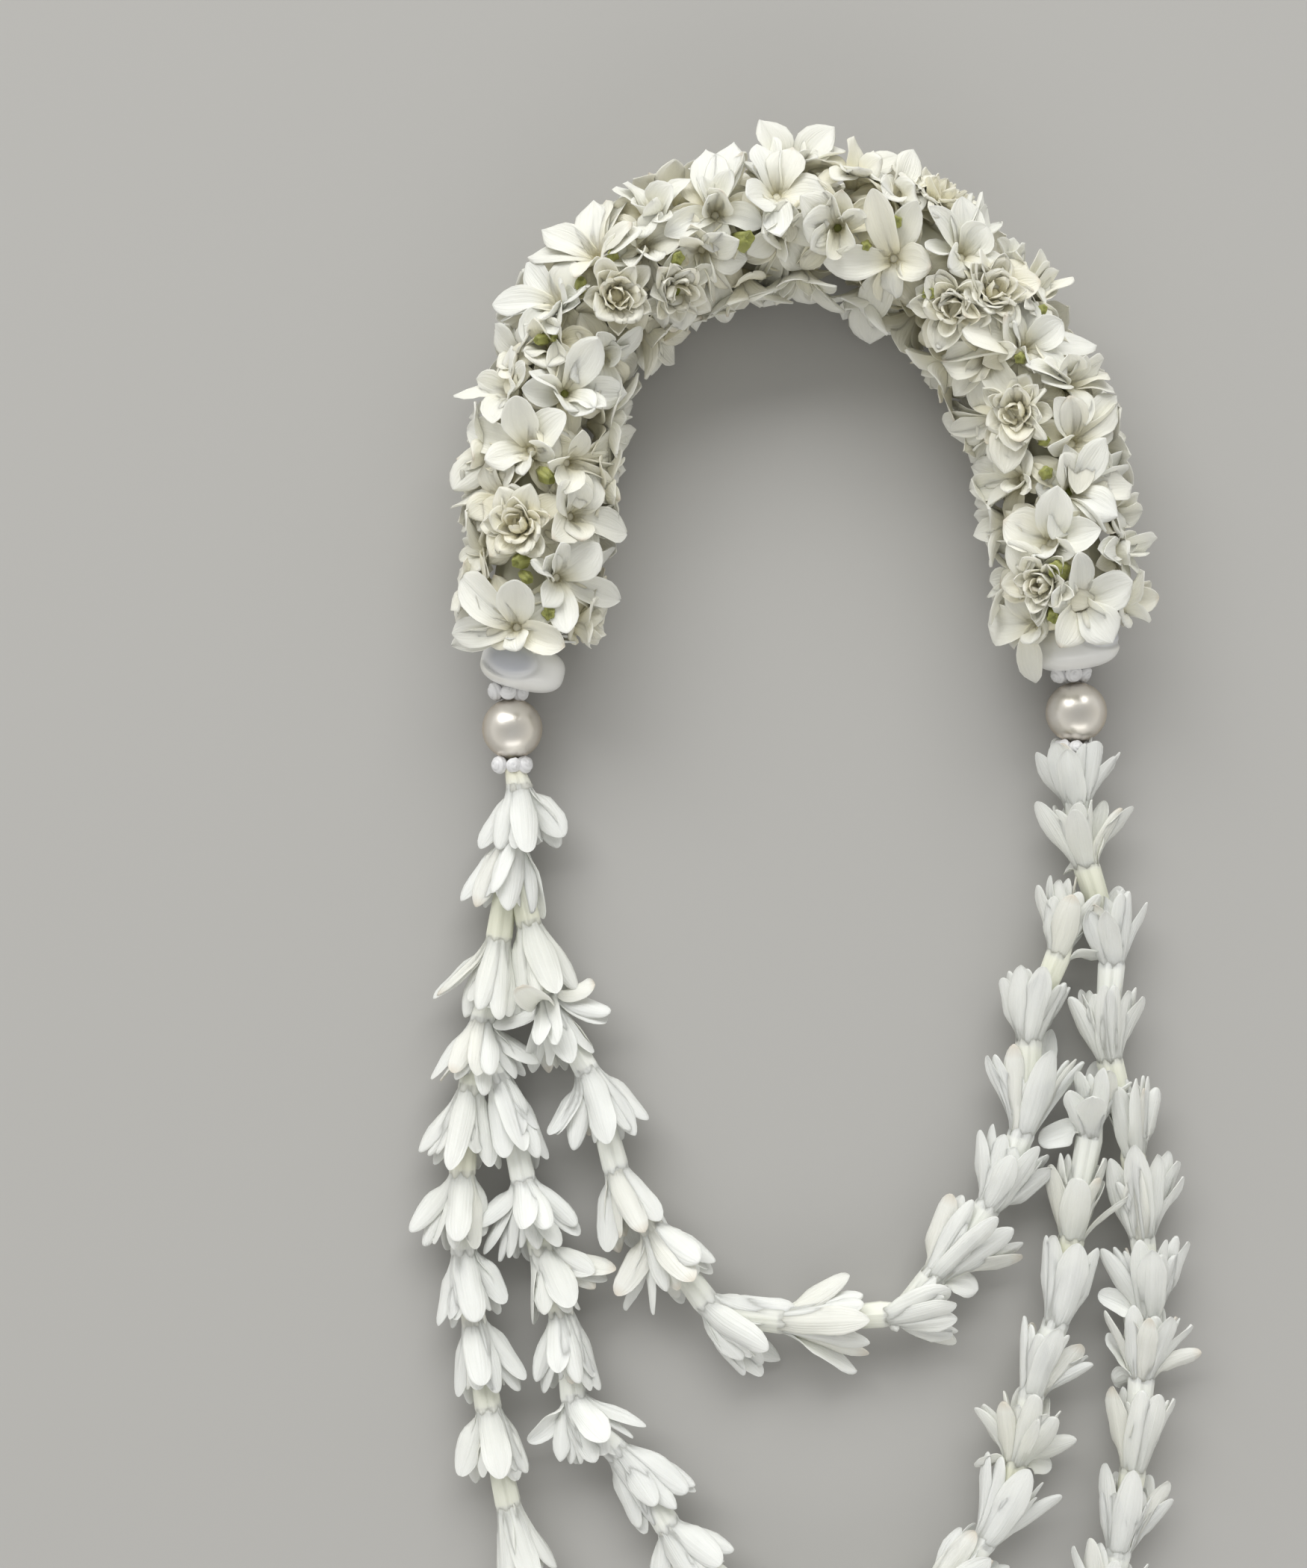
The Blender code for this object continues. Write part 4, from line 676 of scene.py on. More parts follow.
# Blooms that show from above: throat x, y, kind, then petals as tip x, tip y, width in pixels
# and the tip's distance from the garland's axis in millimetres
garlandBlooms = [
    (690, 842, "star", [(617, 770, 50, 21), (605, 849, 38, 20), (606, 863, 26, 17), (690, 777, 45, 22),
        (757, 866, 44, 20), (692, 872, 30, 18)]),
    (748, 775, "star", [(803, 728, 44, 21), (824, 733, 14, 19), (829, 803, 36, 20), (805, 812, 28, 17),
        (760, 848, 34, 22), (727, 813, 28, 20), (731, 746, 18, 22), (751, 727, 18, 23),
        (712, 750, 14, 21)]),
    (698, 705, "rose", [(710, 648, 32, 21), (668, 652, 34, 20), (735, 690, 26, 19), (643, 705, 34, 19),
        (655, 745, 40, 19), (702, 740, 22, 22), (720, 715, 22, 22)]),
    (640, 790, "half", [(604, 818, 26, 17), (612, 797, 14, 18), (618, 760, 24, 18), (612, 840, 20, 16)]),
    (640, 735, "half", [(616, 752, 26, 18), (619, 722, 18, 17), (640, 765, 20, 17), (655, 772, 18, 17),
        (622, 738, 20, 16)]),
    (668, 668, "half", [(626, 692, 32, 20), (606, 678, 20, 16), (640, 712, 22, 17), (618, 712, 14, 16)]),
    (768, 690, "star", [(752, 650, 24, 24), (838, 715, 42, 20), (812, 712, 32, 18), (780, 724, 30, 21),
        (740, 722, 40, 21), (826, 682, 14, 16), (775, 640, 30, 19)]),
    (708, 600, "star", [(626, 576, 45, 20), (690, 530, 46, 22), (757, 553, 44, 21), (650, 616, 30, 22),
        (735, 598, 22, 22), (700, 637, 16, 19)]),
    (648, 600, "half", [(606, 656, 38, 18), (611, 615, 18, 16), (610, 640, 16, 15), (625, 590, 16, 17),
        (618, 625, 20, 15)]),
    (765, 618, "half", [(757, 662, 38, 21), (820, 672, 34, 18), (828, 632, 16, 16), (823, 645, 18, 16),
        (838, 630, 32, 14), (733, 620, 14, 21), (780, 575, 24, 19), (852, 575, 26, 13)]),
    (758, 522, "star", [(801, 453, 40, 22), (708, 497, 16, 21), (698, 520, 40, 20), (840, 527, 36, 20),
        (795, 550, 36, 22), (812, 545, 22, 23), (760, 550, 26, 20)]),
    (680, 525, "half", [(607, 530, 20, 16), (638, 507, 30, 18), (690, 518, 14, 21), (702, 490, 26, 22),
        (665, 550, 30, 17), (660, 568, 40, 19), (628, 560, 16, 17)]),
    (735, 470, "half", [(730, 492, 50, 18), (715, 425, 20, 21), (745, 430, 22, 22), (760, 480, 24, 18),
        (700, 470, 20, 18)]),
    (690, 480, "half", [(663, 433, 24, 18), (713, 437, 16, 18), (665, 492, 26, 17), (690, 440, 10, 16)]),
    (748, 402, "star", [(705, 352, 32, 20), (659, 408, 36, 18), (670, 430, 16, 19), (750, 380, 18, 22),
        (783, 383, 22, 22), (777, 405, 40, 20), (730, 425, 20, 22), (745, 448, 24, 21)]),
    (825, 395, "rose", [(850, 357, 26, 21), (818, 362, 30, 20), (805, 385, 26, 21), (800, 425, 38, 21),
        (851, 428, 34, 22), (849, 404, 16, 22), (858, 385, 20, 20)]),
    (808, 478, "star", [(858, 437, 18, 17), (832, 465, 40, 19), (850, 495, 26, 15), (800, 445, 26, 20),
        (845, 470, 20, 16)]),
    (866, 440, "half", [(872, 503, 28, 14), (903, 488, 30, 13), (925, 445, 26, 13)]),
    (795, 345, "star", [(725, 308, 36, 20), (706, 345, 26, 18), (795, 268, 38, 19), (846, 298, 20, 21),
        (860, 308, 28, 20), (770, 372, 18, 21), (812, 268, 26, 17), (840, 262, 28, 17)]),
    (862, 330, "half", [(880, 350, 30, 21), (889, 440, 22, 19), (845, 360, 22, 20), (890, 400, 18, 18),
        (838, 300, 24, 19)]),
    (878, 285, "star", [(840, 243, 24, 18), (900, 248, 44, 20), (925, 240, 20, 18), (875, 270, 16, 22),
        (895, 293, 14, 22), (845, 272, 20, 20), (860, 318, 30, 18), (825, 250, 20, 17)]),
    (905, 385, "rose", [(882, 358, 28, 21), (898, 352, 22, 21), (925, 362, 16, 20), (940, 398, 20, 18),
        (900, 408, 26, 19), (870, 395, 26, 19)]),
    (955, 285, "star", [(945, 200, 42, 18), (983, 190, 40, 17), (996, 205, 24, 19), (926, 225, 14, 16),
        (940, 235, 16, 21), (977, 228, 22, 22), (968, 256, 22, 23), (949, 262, 20, 22)]),
    (940, 338, "half", [(912, 318, 14, 21), (972, 312, 18, 20), (990, 322, 24, 21), (955, 405, 12, 19),
        (960, 378, 10, 19), (925, 300, 26, 18), (932, 392, 20, 16), (974, 431, 34, 14),
        (932, 444, 26, 14)]),
    (1035, 260, "star", [(1013, 193, 34, 21), (1062, 197, 42, 20), (1035, 183, 14, 17),
        (1000, 262, 42, 23), (1045, 317, 38, 23), (985, 215, 22, 17)]),
    (1065, 220, "half", [(1016, 160, 44, 16), (1118, 170, 40, 16), (1095, 212, 20, 19),
        (1116, 198, 24, 17), (1133, 203, 22, 17), (1078, 200, 22, 20), (1075, 185, 18, 16)]),
    (1045, 310, "half", [(1022, 313, 40, 20), (1052, 352, 12, 21), (1025, 308, 12, 20),
        (1025, 395, 42, 15), (1000, 340, 26, 17), (1080, 360, 40, 15), (1010, 405, 22, 13),
        (985, 385, 36, 14)]),
    (1125, 305, "star", [(1127, 253, 36, 21), (1072, 262, 36, 21), (1075, 300, 44, 20),
        (1108, 345, 20, 23), (1085, 335, 30, 20), (1152, 282, 16, 22), (1105, 255, 20, 20),
        (1145, 330, 20, 20)]),
    (1145, 235, "half", [(1143, 182, 22, 16), (1180, 213, 30, 20), (1205, 210, 30, 17),
        (1170, 202, 16, 17), (1150, 225, 26, 22), (1133, 230, 16, 20), (1115, 240, 26, 19)]),
    (1193, 345, "star", [(1168, 252, 36, 21), (1228, 268, 38, 22), (1247, 357, 42, 20),
        (1161, 427, 42, 19), (1102, 352, 40, 18), (1200, 400, 22, 17)]),
    (1150, 415, "half", [(1165, 461, 46, 14), (1203, 448, 34, 14), (1128, 428, 26, 13)]),
    (1205, 262, "half", [(1225, 248, 40, 18), (1223, 200, 30, 16), (1232, 235, 10, 17),
        (1252, 235, 24, 17), (1185, 265, 20, 20), (1180, 245, 24, 19)]),
    (1262, 268, "rose", [(1265, 250, 22, 18), (1285, 255, 22, 17), (1240, 262, 20, 19),
        (1250, 290, 20, 21), (1290, 275, 20, 17)]),
    (1290, 340, "star", [(1288, 263, 46, 21), (1322, 303, 46, 20), (1243, 277, 30, 21),
        (1240, 332, 22, 22), (1273, 360, 32, 21), (1320, 278, 26, 17), (1313, 258, 18, 16),
        (1302, 258, 10, 18), (1340, 300, 16, 17)]),
    (1280, 412, "rose", [(1262, 395, 12, 21), (1270, 392, 12, 22), (1280, 393, 12, 22),
        (1258, 410, 14, 20), (1300, 405, 14, 21), (1290, 425, 16, 20), (1213, 410, 20, 17),
        (1225, 385, 34, 18), (1240, 370, 34, 19)]),
    (1325, 392, "rose", [(1312, 333, 18, 21), (1300, 368, 26, 20), (1340, 360, 34, 21),
        (1350, 405, 14, 22), (1335, 412, 14, 22), (1290, 395, 26, 20), (1360, 410, 12, 21),
        (1325, 420, 30, 21)]),
    (1352, 362, "half", [(1357, 318, 24, 16), (1360, 335, 26, 19), (1335, 320, 16, 18),
        (1372, 325, 18, 16), (1345, 372, 20, 20)]),
    (1395, 385, "half", [(1437, 371, 18, 14), (1393, 333, 26, 16), (1405, 350, 24, 16),
        (1418, 362, 16, 14), (1415, 385, 26, 15), (1380, 420, 24, 18), (1372, 412, 12, 20),
        (1395, 425, 20, 17)]),
    (1372, 462, "star", [(1288, 442, 46, 20), (1348, 423, 36, 22), (1422, 430, 42, 20),
        (1469, 463, 34, 17), (1360, 432, 14, 22), (1262, 485, 12, 19), (1385, 500, 24, 20)]),
    (1325, 478, "half", [(1262, 487, 48, 19), (1278, 530, 28, 19), (1237, 510, 26, 14),
        (1250, 520, 12, 15), (1361, 466, 14, 23), (1300, 512, 30, 18), (1270, 530, 20, 15)]),
    (1365, 555, "rose", [(1350, 520, 30, 20), (1390, 515, 26, 20), (1330, 548, 22, 20),
        (1325, 592, 12, 20), (1400, 520, 12, 20), (1395, 560, 20, 21), (1365, 592, 40, 21),
        (1360, 605, 40, 20), (1345, 635, 46, 19), (1400, 590, 12, 21)]),
    (1432, 510, "star", [(1430, 473, 42, 20), (1455, 476, 18, 20), (1478, 480, 26, 18),
        (1482, 500, 22, 17), (1398, 483, 18, 21), (1373, 488, 22, 21), (1490, 520, 24, 16),
        (1395, 510, 26, 20)]),
    (1440, 592, "star", [(1412, 533, 36, 21), (1432, 530, 34, 21), (1495, 530, 40, 18),
        (1490, 560, 40, 18), (1403, 600, 16, 21), (1500, 545, 20, 16)]),
    (1335, 562, "half", [(1262, 563, 24, 15), (1273, 583, 32, 16), (1304, 600, 24, 17),
        (1310, 585, 18, 17), (1270, 545, 20, 14), (1300, 620, 26, 14)]),
    (1435, 655, "star", [(1423, 607, 34, 21), (1425, 595, 28, 18), (1481, 586, 34, 20),
        (1517, 650, 46, 18), (1497, 692, 40, 20), (1480, 713, 14, 18), (1505, 610, 24, 16),
        (1511, 628, 18, 16)]),
    (1362, 640, "half", [(1300, 655, 36, 17), (1300, 625, 24, 15), (1322, 678, 16, 20),
        (1380, 655, 14, 22), (1335, 605, 24, 19), (1305, 675, 24, 15), (1350, 660, 24, 20)]),
    (1408, 728, "star", [(1416, 650, 44, 21), (1343, 697, 54, 20), (1475, 709, 44, 20),
        (1328, 733, 20, 17), (1400, 748, 20, 19), (1440, 742, 16, 20)]),
    (1345, 700, "half", [(1303, 718, 32, 16), (1304, 690, 22, 15), (1328, 742, 28, 16),
        (1330, 700, 30, 17)]),
    (1495, 735, "half", [(1550, 720, 22, 15), (1520, 713, 26, 17), (1510, 742, 26, 18),
        (1527, 765, 16, 16), (1470, 735, 24, 20), (1535, 740, 20, 15), (1478, 740, 22, 20)]),
    (1400, 785, "rose", [(1395, 769, 32, 20), (1383, 790, 20, 20), (1400, 812, 22, 20),
        (1425, 778, 26, 21), (1370, 785, 30, 18), (1390, 840, 16, 19)]),
    (1447, 803, "star", [(1443, 741, 36, 22), (1517, 778, 46, 20), (1490, 862, 46, 20),
        (1420, 868, 42, 20), (1409, 795, 38, 22), (1480, 830, 20, 17)]),
    (1350, 775, "half", [(1325, 778, 30, 15), (1341, 783, 24, 18), (1380, 750, 26, 19),
        (1323, 801, 10, 16), (1334, 822, 28, 16), (1385, 745, 20, 19)]),
    (1505, 805, "half", [(1552, 800, 36, 15), (1540, 778, 22, 16), (1535, 826, 18, 15),
        (1505, 835, 22, 17), (1520, 815, 26, 16)]),
    (1385, 836, "half", [(1387, 914, 34, 17), (1323, 836, 50, 16), (1380, 862, 16, 19),
        (1345, 855, 36, 15), (1400, 850, 26, 17)]),
    (1488, 690, "half", [(1528, 684, 26, 15), (1510, 700, 26, 16), (1525, 660, 14, 16),
        (1500, 715, 16, 17)]),
]

brownThroats = {(758, 522), (905, 385), (1125, 305), (1447, 803), (1435, 655), (735, 470)}

# Green bases that show between the petals: x, y, radius in pixels
greenBits = [
    (998, 320, 14), (908, 345, 10), (1200, 297, 9), (1245, 393, 13), (735, 822, 10), (695, 752, 11),
    (707, 775, 8), (735, 640, 10), (820, 340, 8), (778, 378, 8), (1415, 762, 14), (1412, 825, 12),
    (1402, 632, 9), (722, 455, 8), (742, 452, 6), (1365, 480, 8), (1395, 415, 8),
    (1400, 590, 7), (1160, 330, 7),
]


def garlandLine():
    points = []
    last = len(garlandAxisPixels) - 1
    for index, (x, y) in enumerate(garlandAxisPixels):
        share = min(1, min(index, last - index) / 2)
        height = garland["endHeight"] + (garland["height"] - garland["endHeight"]) * share
        points.append(spot(x, y, height))
    return smoothCurve(points, 0.002)


def tangentAt(line, index):
    return unit(line[min(len(line) - 1, index + 1)] - line[max(0, index - 1)])


def seenThroat(line, x, y):
    best = None
    for step in range(48, 5, -1):
        point = spot(x, y, step * 0.001)
        gaps = np.linalg.norm(line - point, axis=1)
        index = int(np.argmin(gaps))
        if best is None or gaps[index] < best[0]:
            best = (gaps[index], point, index)
        if gaps[index] <= garland["throat"]:
            break
    _, point, index = best
    outward = unit(across(point - line[index], tangentAt(line, index)))
    return line[index] + outward * garland["throat"], index


def garlandThroats(line):
    throats = []
    for x, y, kind, petals in garlandBlooms:
        place, index = seenThroat(line, x, y)
        throats.append((place, index, kind, petals, (x, y) in brownThroats))
    chance = random.Random(7)
    for index in range(3, len(line) - 3, 3):
        up, side = axesAt(tangentAt(line, index))
        for turn in range(12):
            angle = math.tau * (turn + chance.random()) / 12
            outward = around(up, side, angle)
            place = line[index] + outward * garland["throat"]
            if outward[2] < -0.8:
                continue
            if min(np.linalg.norm(place - other[0]) for other in throats) > garland["spacing"]:
                throats.append((place, index, "side", [], False))
    return throats


def seenTip(line, x, y, far):
    # where the line of sight meets the sheath that is that far from the axis, or passes it nearest
    heights = np.arange(0.047, 0.003, -0.0005)
    places = np.array([spot(x, y, height) for height in heights])
    gaps = np.linalg.norm(places[:, None, :] - line[None, :, :], axis=2).min(axis=1)
    inside = np.nonzero(gaps <= far)[0]
    if len(inside):
        return places[inside[0]]
    nearest = int(np.argmin(gaps))
    drop = max(0, 0.018 - far) * 1.6
    return spot(x, y, max(0.003, heights[nearest] - drop))


def garlandPetal(heap, luck, throat, facing, tip, width, standing, kind, depth=None, shown=None,
                 curl=0.0):
    depth = garland["cupDepth"] if depth is None else depth
    outward = unit(across(tip - throat, facing) + 1e-6)
    start = throat - facing * depth + outward * 0.0009
    reach = np.linalg.norm(tip - start)
    straight = unit(tip - throat)
    endWay = unit(straight + facing * (0.55 if standing else -0.22) - outward * curl)
    startWay = unit(facing * 0.9 + outward * 0.42)
    spine = (start, start + startWay * (depth + reach * 0.22), tip - endWay * reach * 0.36, tip)
    face = None
    if shown:
        face = rolledFace(straight, facing, outward, min(0.97, max(0.25, 1.2 * shown / width)))
    cup = luck.uniform(*garland["curledCup" if curl else "cup"])
    petal(heap, luck, spine, -outward, width, min(0.0021, width * 0.3), (0.0024, cup), kind,
          tipPower=luck.uniform(*garland["tipPower"]), twist=luck.uniform(*garland["twist"]),
          roll=luck.uniform(*garland["roll"]), face=face)


def garlandBloom(heap, luck, line, place, index, bloomKind, petals, brown):
    look = bloomKinds[bloomKind]
    isRose = bloomKind == "rose"
    centre = line[index]
    outward = unit(place - centre)
    facing = np.array((outward[0], outward[1], max(outward[2], -0.25)))
    if bloomKind in ("star", "rose"):
        facing = facing + np.array((0, 0, 0.35))
    facing = unit(facing)
    foot = centre + outward * garland["coreRadius"] * 0.5
    neck = place - facing * garland["cupDepth"]
    top, endRadius = garland["budEnd" if isRose else "tubeEnd"]
    places = [foot, foot + (neck - foot) * 0.5, neck + facing * (top - 0.0016), neck + facing * top]
    tube(heap, luck, places, garland["tube"] + [endRadius], 1.0 if brown else -0.7, sides=10,
         marksFrom=0.55, marksTo=0.0 if brown else 0.4)
    up, side = axesAt(facing)
    taken = []
    limit = garland["reach"] if outward[2] < 0.2 or bloomKind in ("rose", "side") else garland["under"]
    # the petals' own cream, plus painted shade that makes the kinds facing sideways or down creamier and
    # darker
    hueAndShade = -look["warmthAndShade"] - 0.24 * luck.random()
    for x, y, width, far in petals:
        tip = seenTip(line, x, y, far / 1000)
        way = unit(across(tip - place, facing) + 1e-6)
        taken.append(math.atan2(np.dot(way, side), np.dot(way, up)) % math.tau)
        shown = width * sight["metresPerPixel"]
        full = max(shown * 1.22, min(look["width"] * luck.uniform(0.94, 1.12), shown * 2.2))
        garlandPetal(heap, luck, place, facing, tip, full, far >= 22, hueAndShade, shown=shown)

    def ruled(turn, angle, length, width, depth=None, kind=hueAndShade, curl=0.0):
        tip = place + (around(up, side, turn) * math.sin(angle) + facing * math.cos(angle)) * length
        for end, outwards in ((line[0], line[0] - line[1]), (line[-1], line[-1] - line[-2])):
            beyond = np.dot(tip - end, unit(outwards))
            if abs(beyond) < 0.02:
                tip = tip - unit(outwards) * max(0, beyond - 0.001)
        nearest = line[nearestIndex(line, tip)]
        tip = nearest + (tip - nearest) * min(1, limit / np.linalg.norm(tip - nearest))
        garlandPetal(heap, luck, place, facing, tip, width, angle < 0.6 or curl > 0, kind, depth, curl=curl)

    # petals by rule close the gaps round the throat
    wanted = look["petals"]
    for _ in range(garland["mostAdded"]):
        if taken:
            gap, first = widestGap(taken)
            if gap < math.tau / wanted * 1.25:
                break
            turn = (first + gap / max(2, round(gap * wanted / math.tau))) % math.tau
        else:
            turn = luck.random() * math.tau
        taken.append(turn)
        wider, length, width = draw(luck, ruledSpans["round"])
        ruled(turn, look["opening"] + wider, length, width)
    if isRose:
        for layer, (count, angle, length, width, curl) in enumerate(roseLayers):
            for turn in turnsRound(luck, count, 0.15):
                wider, longer, broader = draw(luck, ruledSpans["rose"])
                ruled(turn, angle + wider, length * longer, width * broader, 0.0026 - layer * 0.0005,
                      hueAndShade - 0.12 * layer, curl)
    else:
        wellSeen = bloomKind == "half" and len(petals) >= 4      # and needs none
        for turn in turnsRound(luck, 0 if wellSeen else look["inner"], 0.2):
            ruled(turn, *draw(luck, ruledSpans["inner"]))
    # more petals fold back beneath it and cover the garland's inside; their creamier, darker colour is
    # painted shade
    for turn in turnsRound(luck, garland["backPetals"], 0.25):
        ruled(turn, *draw(luck, ruledSpans["back"]), garland["backDepth"], garland["backShadeKind"])


def garlandEnd(heap, luck, end, outwards):
    # petals fan out over each end, close to the shell
    up, side = axesAt(outwards)
    for count, reach, rise in endPetals["fans"]:
        for turn in turnsRound(luck, count, 0.2):
            way = around(up, side, turn)
            start = end - outwards * 0.004 + way * 0.0015
            tip = (end + outwards * rise + way * reach * luck.uniform(0.9, 1.08)
                   - outwards * luck.uniform(0.0, 0.002))
            spine = (start, start + outwards * 0.0035 + way * 0.002,
                     tip - way * 0.0045 + outwards * 0.0004, tip)
            width = endPetals["width"] * luck.uniform(0.85, 1.1)
            cup = (0.004, luck.uniform(*endPetals["cup"]))
            petal(heap, luck, spine, -outwards, width, endPetals["base"], cup, endPetals["kind"],
                  tipPower=luck.uniform(*endPetals["tipPower"]), twist=luck.uniform(*endPetals["twist"]))


def garlandCore(heap, luck, line, first, last):
    places = line[max(0, first):last + 1]
    radii = [garland["coreRadius"] * luck.uniform(0.95, 1.05) for _ in places]
    radii[0] *= 0.8
    radii[-1] *= 0.8
    tube(heap, luck, places, radii, 0.08, sides=30, lobes=9, ridge=0.08, marksFrom=0.24, marksTo=0.24)


# Materials

def nodeSet(name):
    material = bpy.data.materials.new(name)
    material.use_nodes = True
    tree = material.node_tree
    return material, tree, tree.nodes["Principled BSDF"]


def node(tree, kind, **settings):
    made = tree.nodes.new(kind)
    for key, value in settings.items():
        setattr(made, key, value)
    return made


def fill(socket, tree, value):
    # links an output to the socket, or sets its value
    if hasattr(value, "links"):
        tree.links.new(value, socket)
    else:
        socket.default_value = (*value, 1) if isinstance(value, tuple) else value


def setValues(made, values):
    for name, value in values.items():
        made.inputs[name].default_value = value


def ramp(tree, factor, stops):
    made = node(tree, "ShaderNodeValToRGB")
    while len(made.color_ramp.elements) < len(stops):
        made.color_ramp.elements.new(0.5)
    for element, (position, colour) in zip(made.color_ramp.elements, stops):
        element.position = position
        element.color = (*colour, 1)
    tree.links.new(factor, made.inputs[0])
    return made.outputs[0]


def mix(tree, factor, first, second):
    made = node(tree, "ShaderNodeMix", data_type="RGBA")
    for index, value in ((0, factor), (6, first), (7, second)):
        fill(made.inputs[index], tree, value)
    return made.outputs[2]


def calc(tree, operation, first, second=0.0, clamp=False):
    made = node(tree, "ShaderNodeMath", operation=operation, use_clamp=clamp)
    for socket, value in zip(made.inputs, (first, second)):
        fill(socket, tree, value)
    return made.outputs[0]


def noise(tree, vector, scale, detail):
    made = node(tree, "ShaderNodeTexNoise")
    setValues(made, {"Scale": scale, "Detail": detail})
    tree.links.new(vector, made.inputs["Vector"])
    return made.outputs[0]


def ownPlace(tree):
    return node(tree, "ShaderNodeTexCoord").outputs["Object"]


def petalMarks(tree):
    # what each point was marked with: three channels, and a fourth
    marks = node(tree, "ShaderNodeAttribute", attribute_name="petalMap", attribute_type="GEOMETRY")
    parts = node(tree, "ShaderNodeSeparateColor")
    tree.links.new(marks.outputs["Color"], parts.inputs[0])
    return (*parts.outputs, marks.outputs["Alpha"])


def addBump(tree, shader, height, strength, distance):
    bump = node(tree, "ShaderNodeBump")
    setValues(bump, {"Strength": strength, "Distance": distance})
    tree.links.new(height, bump.inputs["Height"])
    tree.links.new(bump.outputs[0], shader.inputs["Normal"])


petalLook = {
    # colours along a petal, from its base to its tip
    "blade": [(0.0, (0.76, 0.72, 0.50)), (0.08, (0.79, 0.765, 0.60)), (0.24, (0.82, 0.81, 0.71)),
              (0.42, (0.835, 0.85, 0.805)), (1.0, (0.86, 0.875, 0.845))],
    # creamy colours: a petal's own cream, and painted shade on the back and sideways petals
    "creamAndShade": [(0.0, (0.80, 0.73, 0.47)), (0.3, (0.86, 0.81, 0.60)), (1.0, (0.86, 0.825, 0.67))],
    "green": [(0.0, (0.20, 0.22, 0.05)), (0.35, (0.40, 0.41, 0.14)), (0.7, (0.68, 0.66, 0.42)),
              (1.0, (0.82, 0.80, 0.66))],
    "brown": (0.50, 0.33, 0.18),
    "creamyFrom": 0.85,        # the share of petals below which none is creamier
    "brownFrom": 0.9,          # the same for brown tips
    "veins": (1.6, 16.0, 40.0),
    "blotches": 160.0,
    "roughness": 0.36,
    "sockets": {"Subsurface Weight": 0.5, "Subsurface Radius": (1.0, 0.97, 0.90),
                "Subsurface Scale": 0.0018, "Specular IOR Level": 0.35},
}


def petalMaterial():
    material, tree, shader = nodeSet("freshPetal")
    link = tree.links.new
    u, v, luck, kind = petalMarks(tree)

    # a kind below zero is creamy, one above zero is green; the back petals' creaminess is painted shade, the
    # sideways blooms' partly painted shade, the roses' their own
    creamier = calc(tree, "MULTIPLY", calc(tree, "GREATER_THAN", luck, petalLook["creamyFrom"]), 0.25)
    below = calc(tree, "MAXIMUM", calc(tree, "MULTIPLY", kind, -1.0), 0.0)
    warmthAndShade = calc(tree, "ADD", creamier, below, clamp=True)
    creamyAndShaded = mix(tree, warmthAndShade, ramp(tree, u, petalLook["blade"]), ramp(tree, u, petalLook["creamAndShade"]))
    colour = mix(tree, calc(tree, "MULTIPLY", kind, 1.3, clamp=True), creamyAndShaded,
                 ramp(tree, u, petalLook["green"]))

    # tips: a few have turned brown or pink
    atTip = calc(tree, "MULTIPLY", calc(tree, "SUBTRACT", u, 0.9), 8.0)
    tipped = calc(tree, "MULTIPLY", calc(tree, "GREATER_THAN", luck, petalLook["brownFrom"]),
                  calc(tree, "SMOOTH_MIN", 1.0, atTip, clamp=True))
    colour = mix(tree, calc(tree, "MULTIPLY", tipped, 0.5, clamp=True), colour, petalLook["brown"])

    # fine veins run along the petal
    where = node(tree, "ShaderNodeCombineXYZ")
    for socket, mark, scale in zip(where.inputs, (u, v, luck), petalLook["veins"]):
        link(calc(tree, "MULTIPLY", mark, scale), socket)
    veins = noise(tree, where.outputs[0], 1.0, 3.0)
    blotch = noise(tree, ownPlace(tree), petalLook["blotches"], 4.0)
    shade = calc(tree, "ADD", calc(tree, "MULTIPLY", veins, 0.07), calc(tree, "MULTIPLY", blotch, 0.06))
    toned = node(tree, "ShaderNodeVectorMath", operation="MULTIPLY")
    link(colour, toned.inputs[0])
    link(calc(tree, "ADD", shade, 0.935), toned.inputs[1])
    link(toned.outputs[0], shader.inputs["Base Color"])

    addBump(tree, shader, calc(tree, "ADD", veins, calc(tree, "MULTIPLY", blotch, 0.25)), 0.55, 0.0005)
    link(calc(tree, "ADD", petalLook["roughness"], calc(tree, "MULTIPLY", blotch, 0.14)),
         shader.inputs["Roughness"])
    setValues(shader, petalLook["sockets"])
    return material


pearlLook = {
    "colours": [(0.3, (0.73, 0.69, 0.62)), (0.7, (0.80, 0.775, 0.73))],
    "roughness": 0.27,
    "sockets": {"Metallic": 0.85, "Specular Tint": (0.92, 0.78, 0.62, 1),      # its rim gleams warmer
                "Coat Weight": 0.4, "Coat Roughness": 0.32},
}


def pearlMaterial():
    material, tree, shader = nodeSet("pearl")
    cloud = noise(tree, ownPlace(tree), 130.0, 3.0)
    tree.links.new(ramp(tree, cloud, pearlLook["colours"]), shader.inputs["Base Color"])
    tree.links.new(calc(tree, "ADD", pearlLook["roughness"], calc(tree, "MULTIPLY", cloud, 0.10)),
                   shader.inputs["Roughness"])
    setValues(shader, pearlLook["sockets"])
    addBump(tree, shader, cloud, 0.05, 0.0003)
    return material


shellLooks = {
    # the hollow's darker bluish grey is painted shade and painted sky reflection in the shell's mouth
    "greyShell": {"light": (0.90, 0.90, 0.88), "dark": (0.83, 0.83, 0.82), "roughness": 0.24,
                  "hollow": (0.52, 0.54, 0.61), "lip": (0.88, 0.87, 0.81)},
    "spiralShell": {"light": (0.86, 0.86, 0.87), "dark": (0.72, 0.72, 0.74), "roughness": 0.34},
}


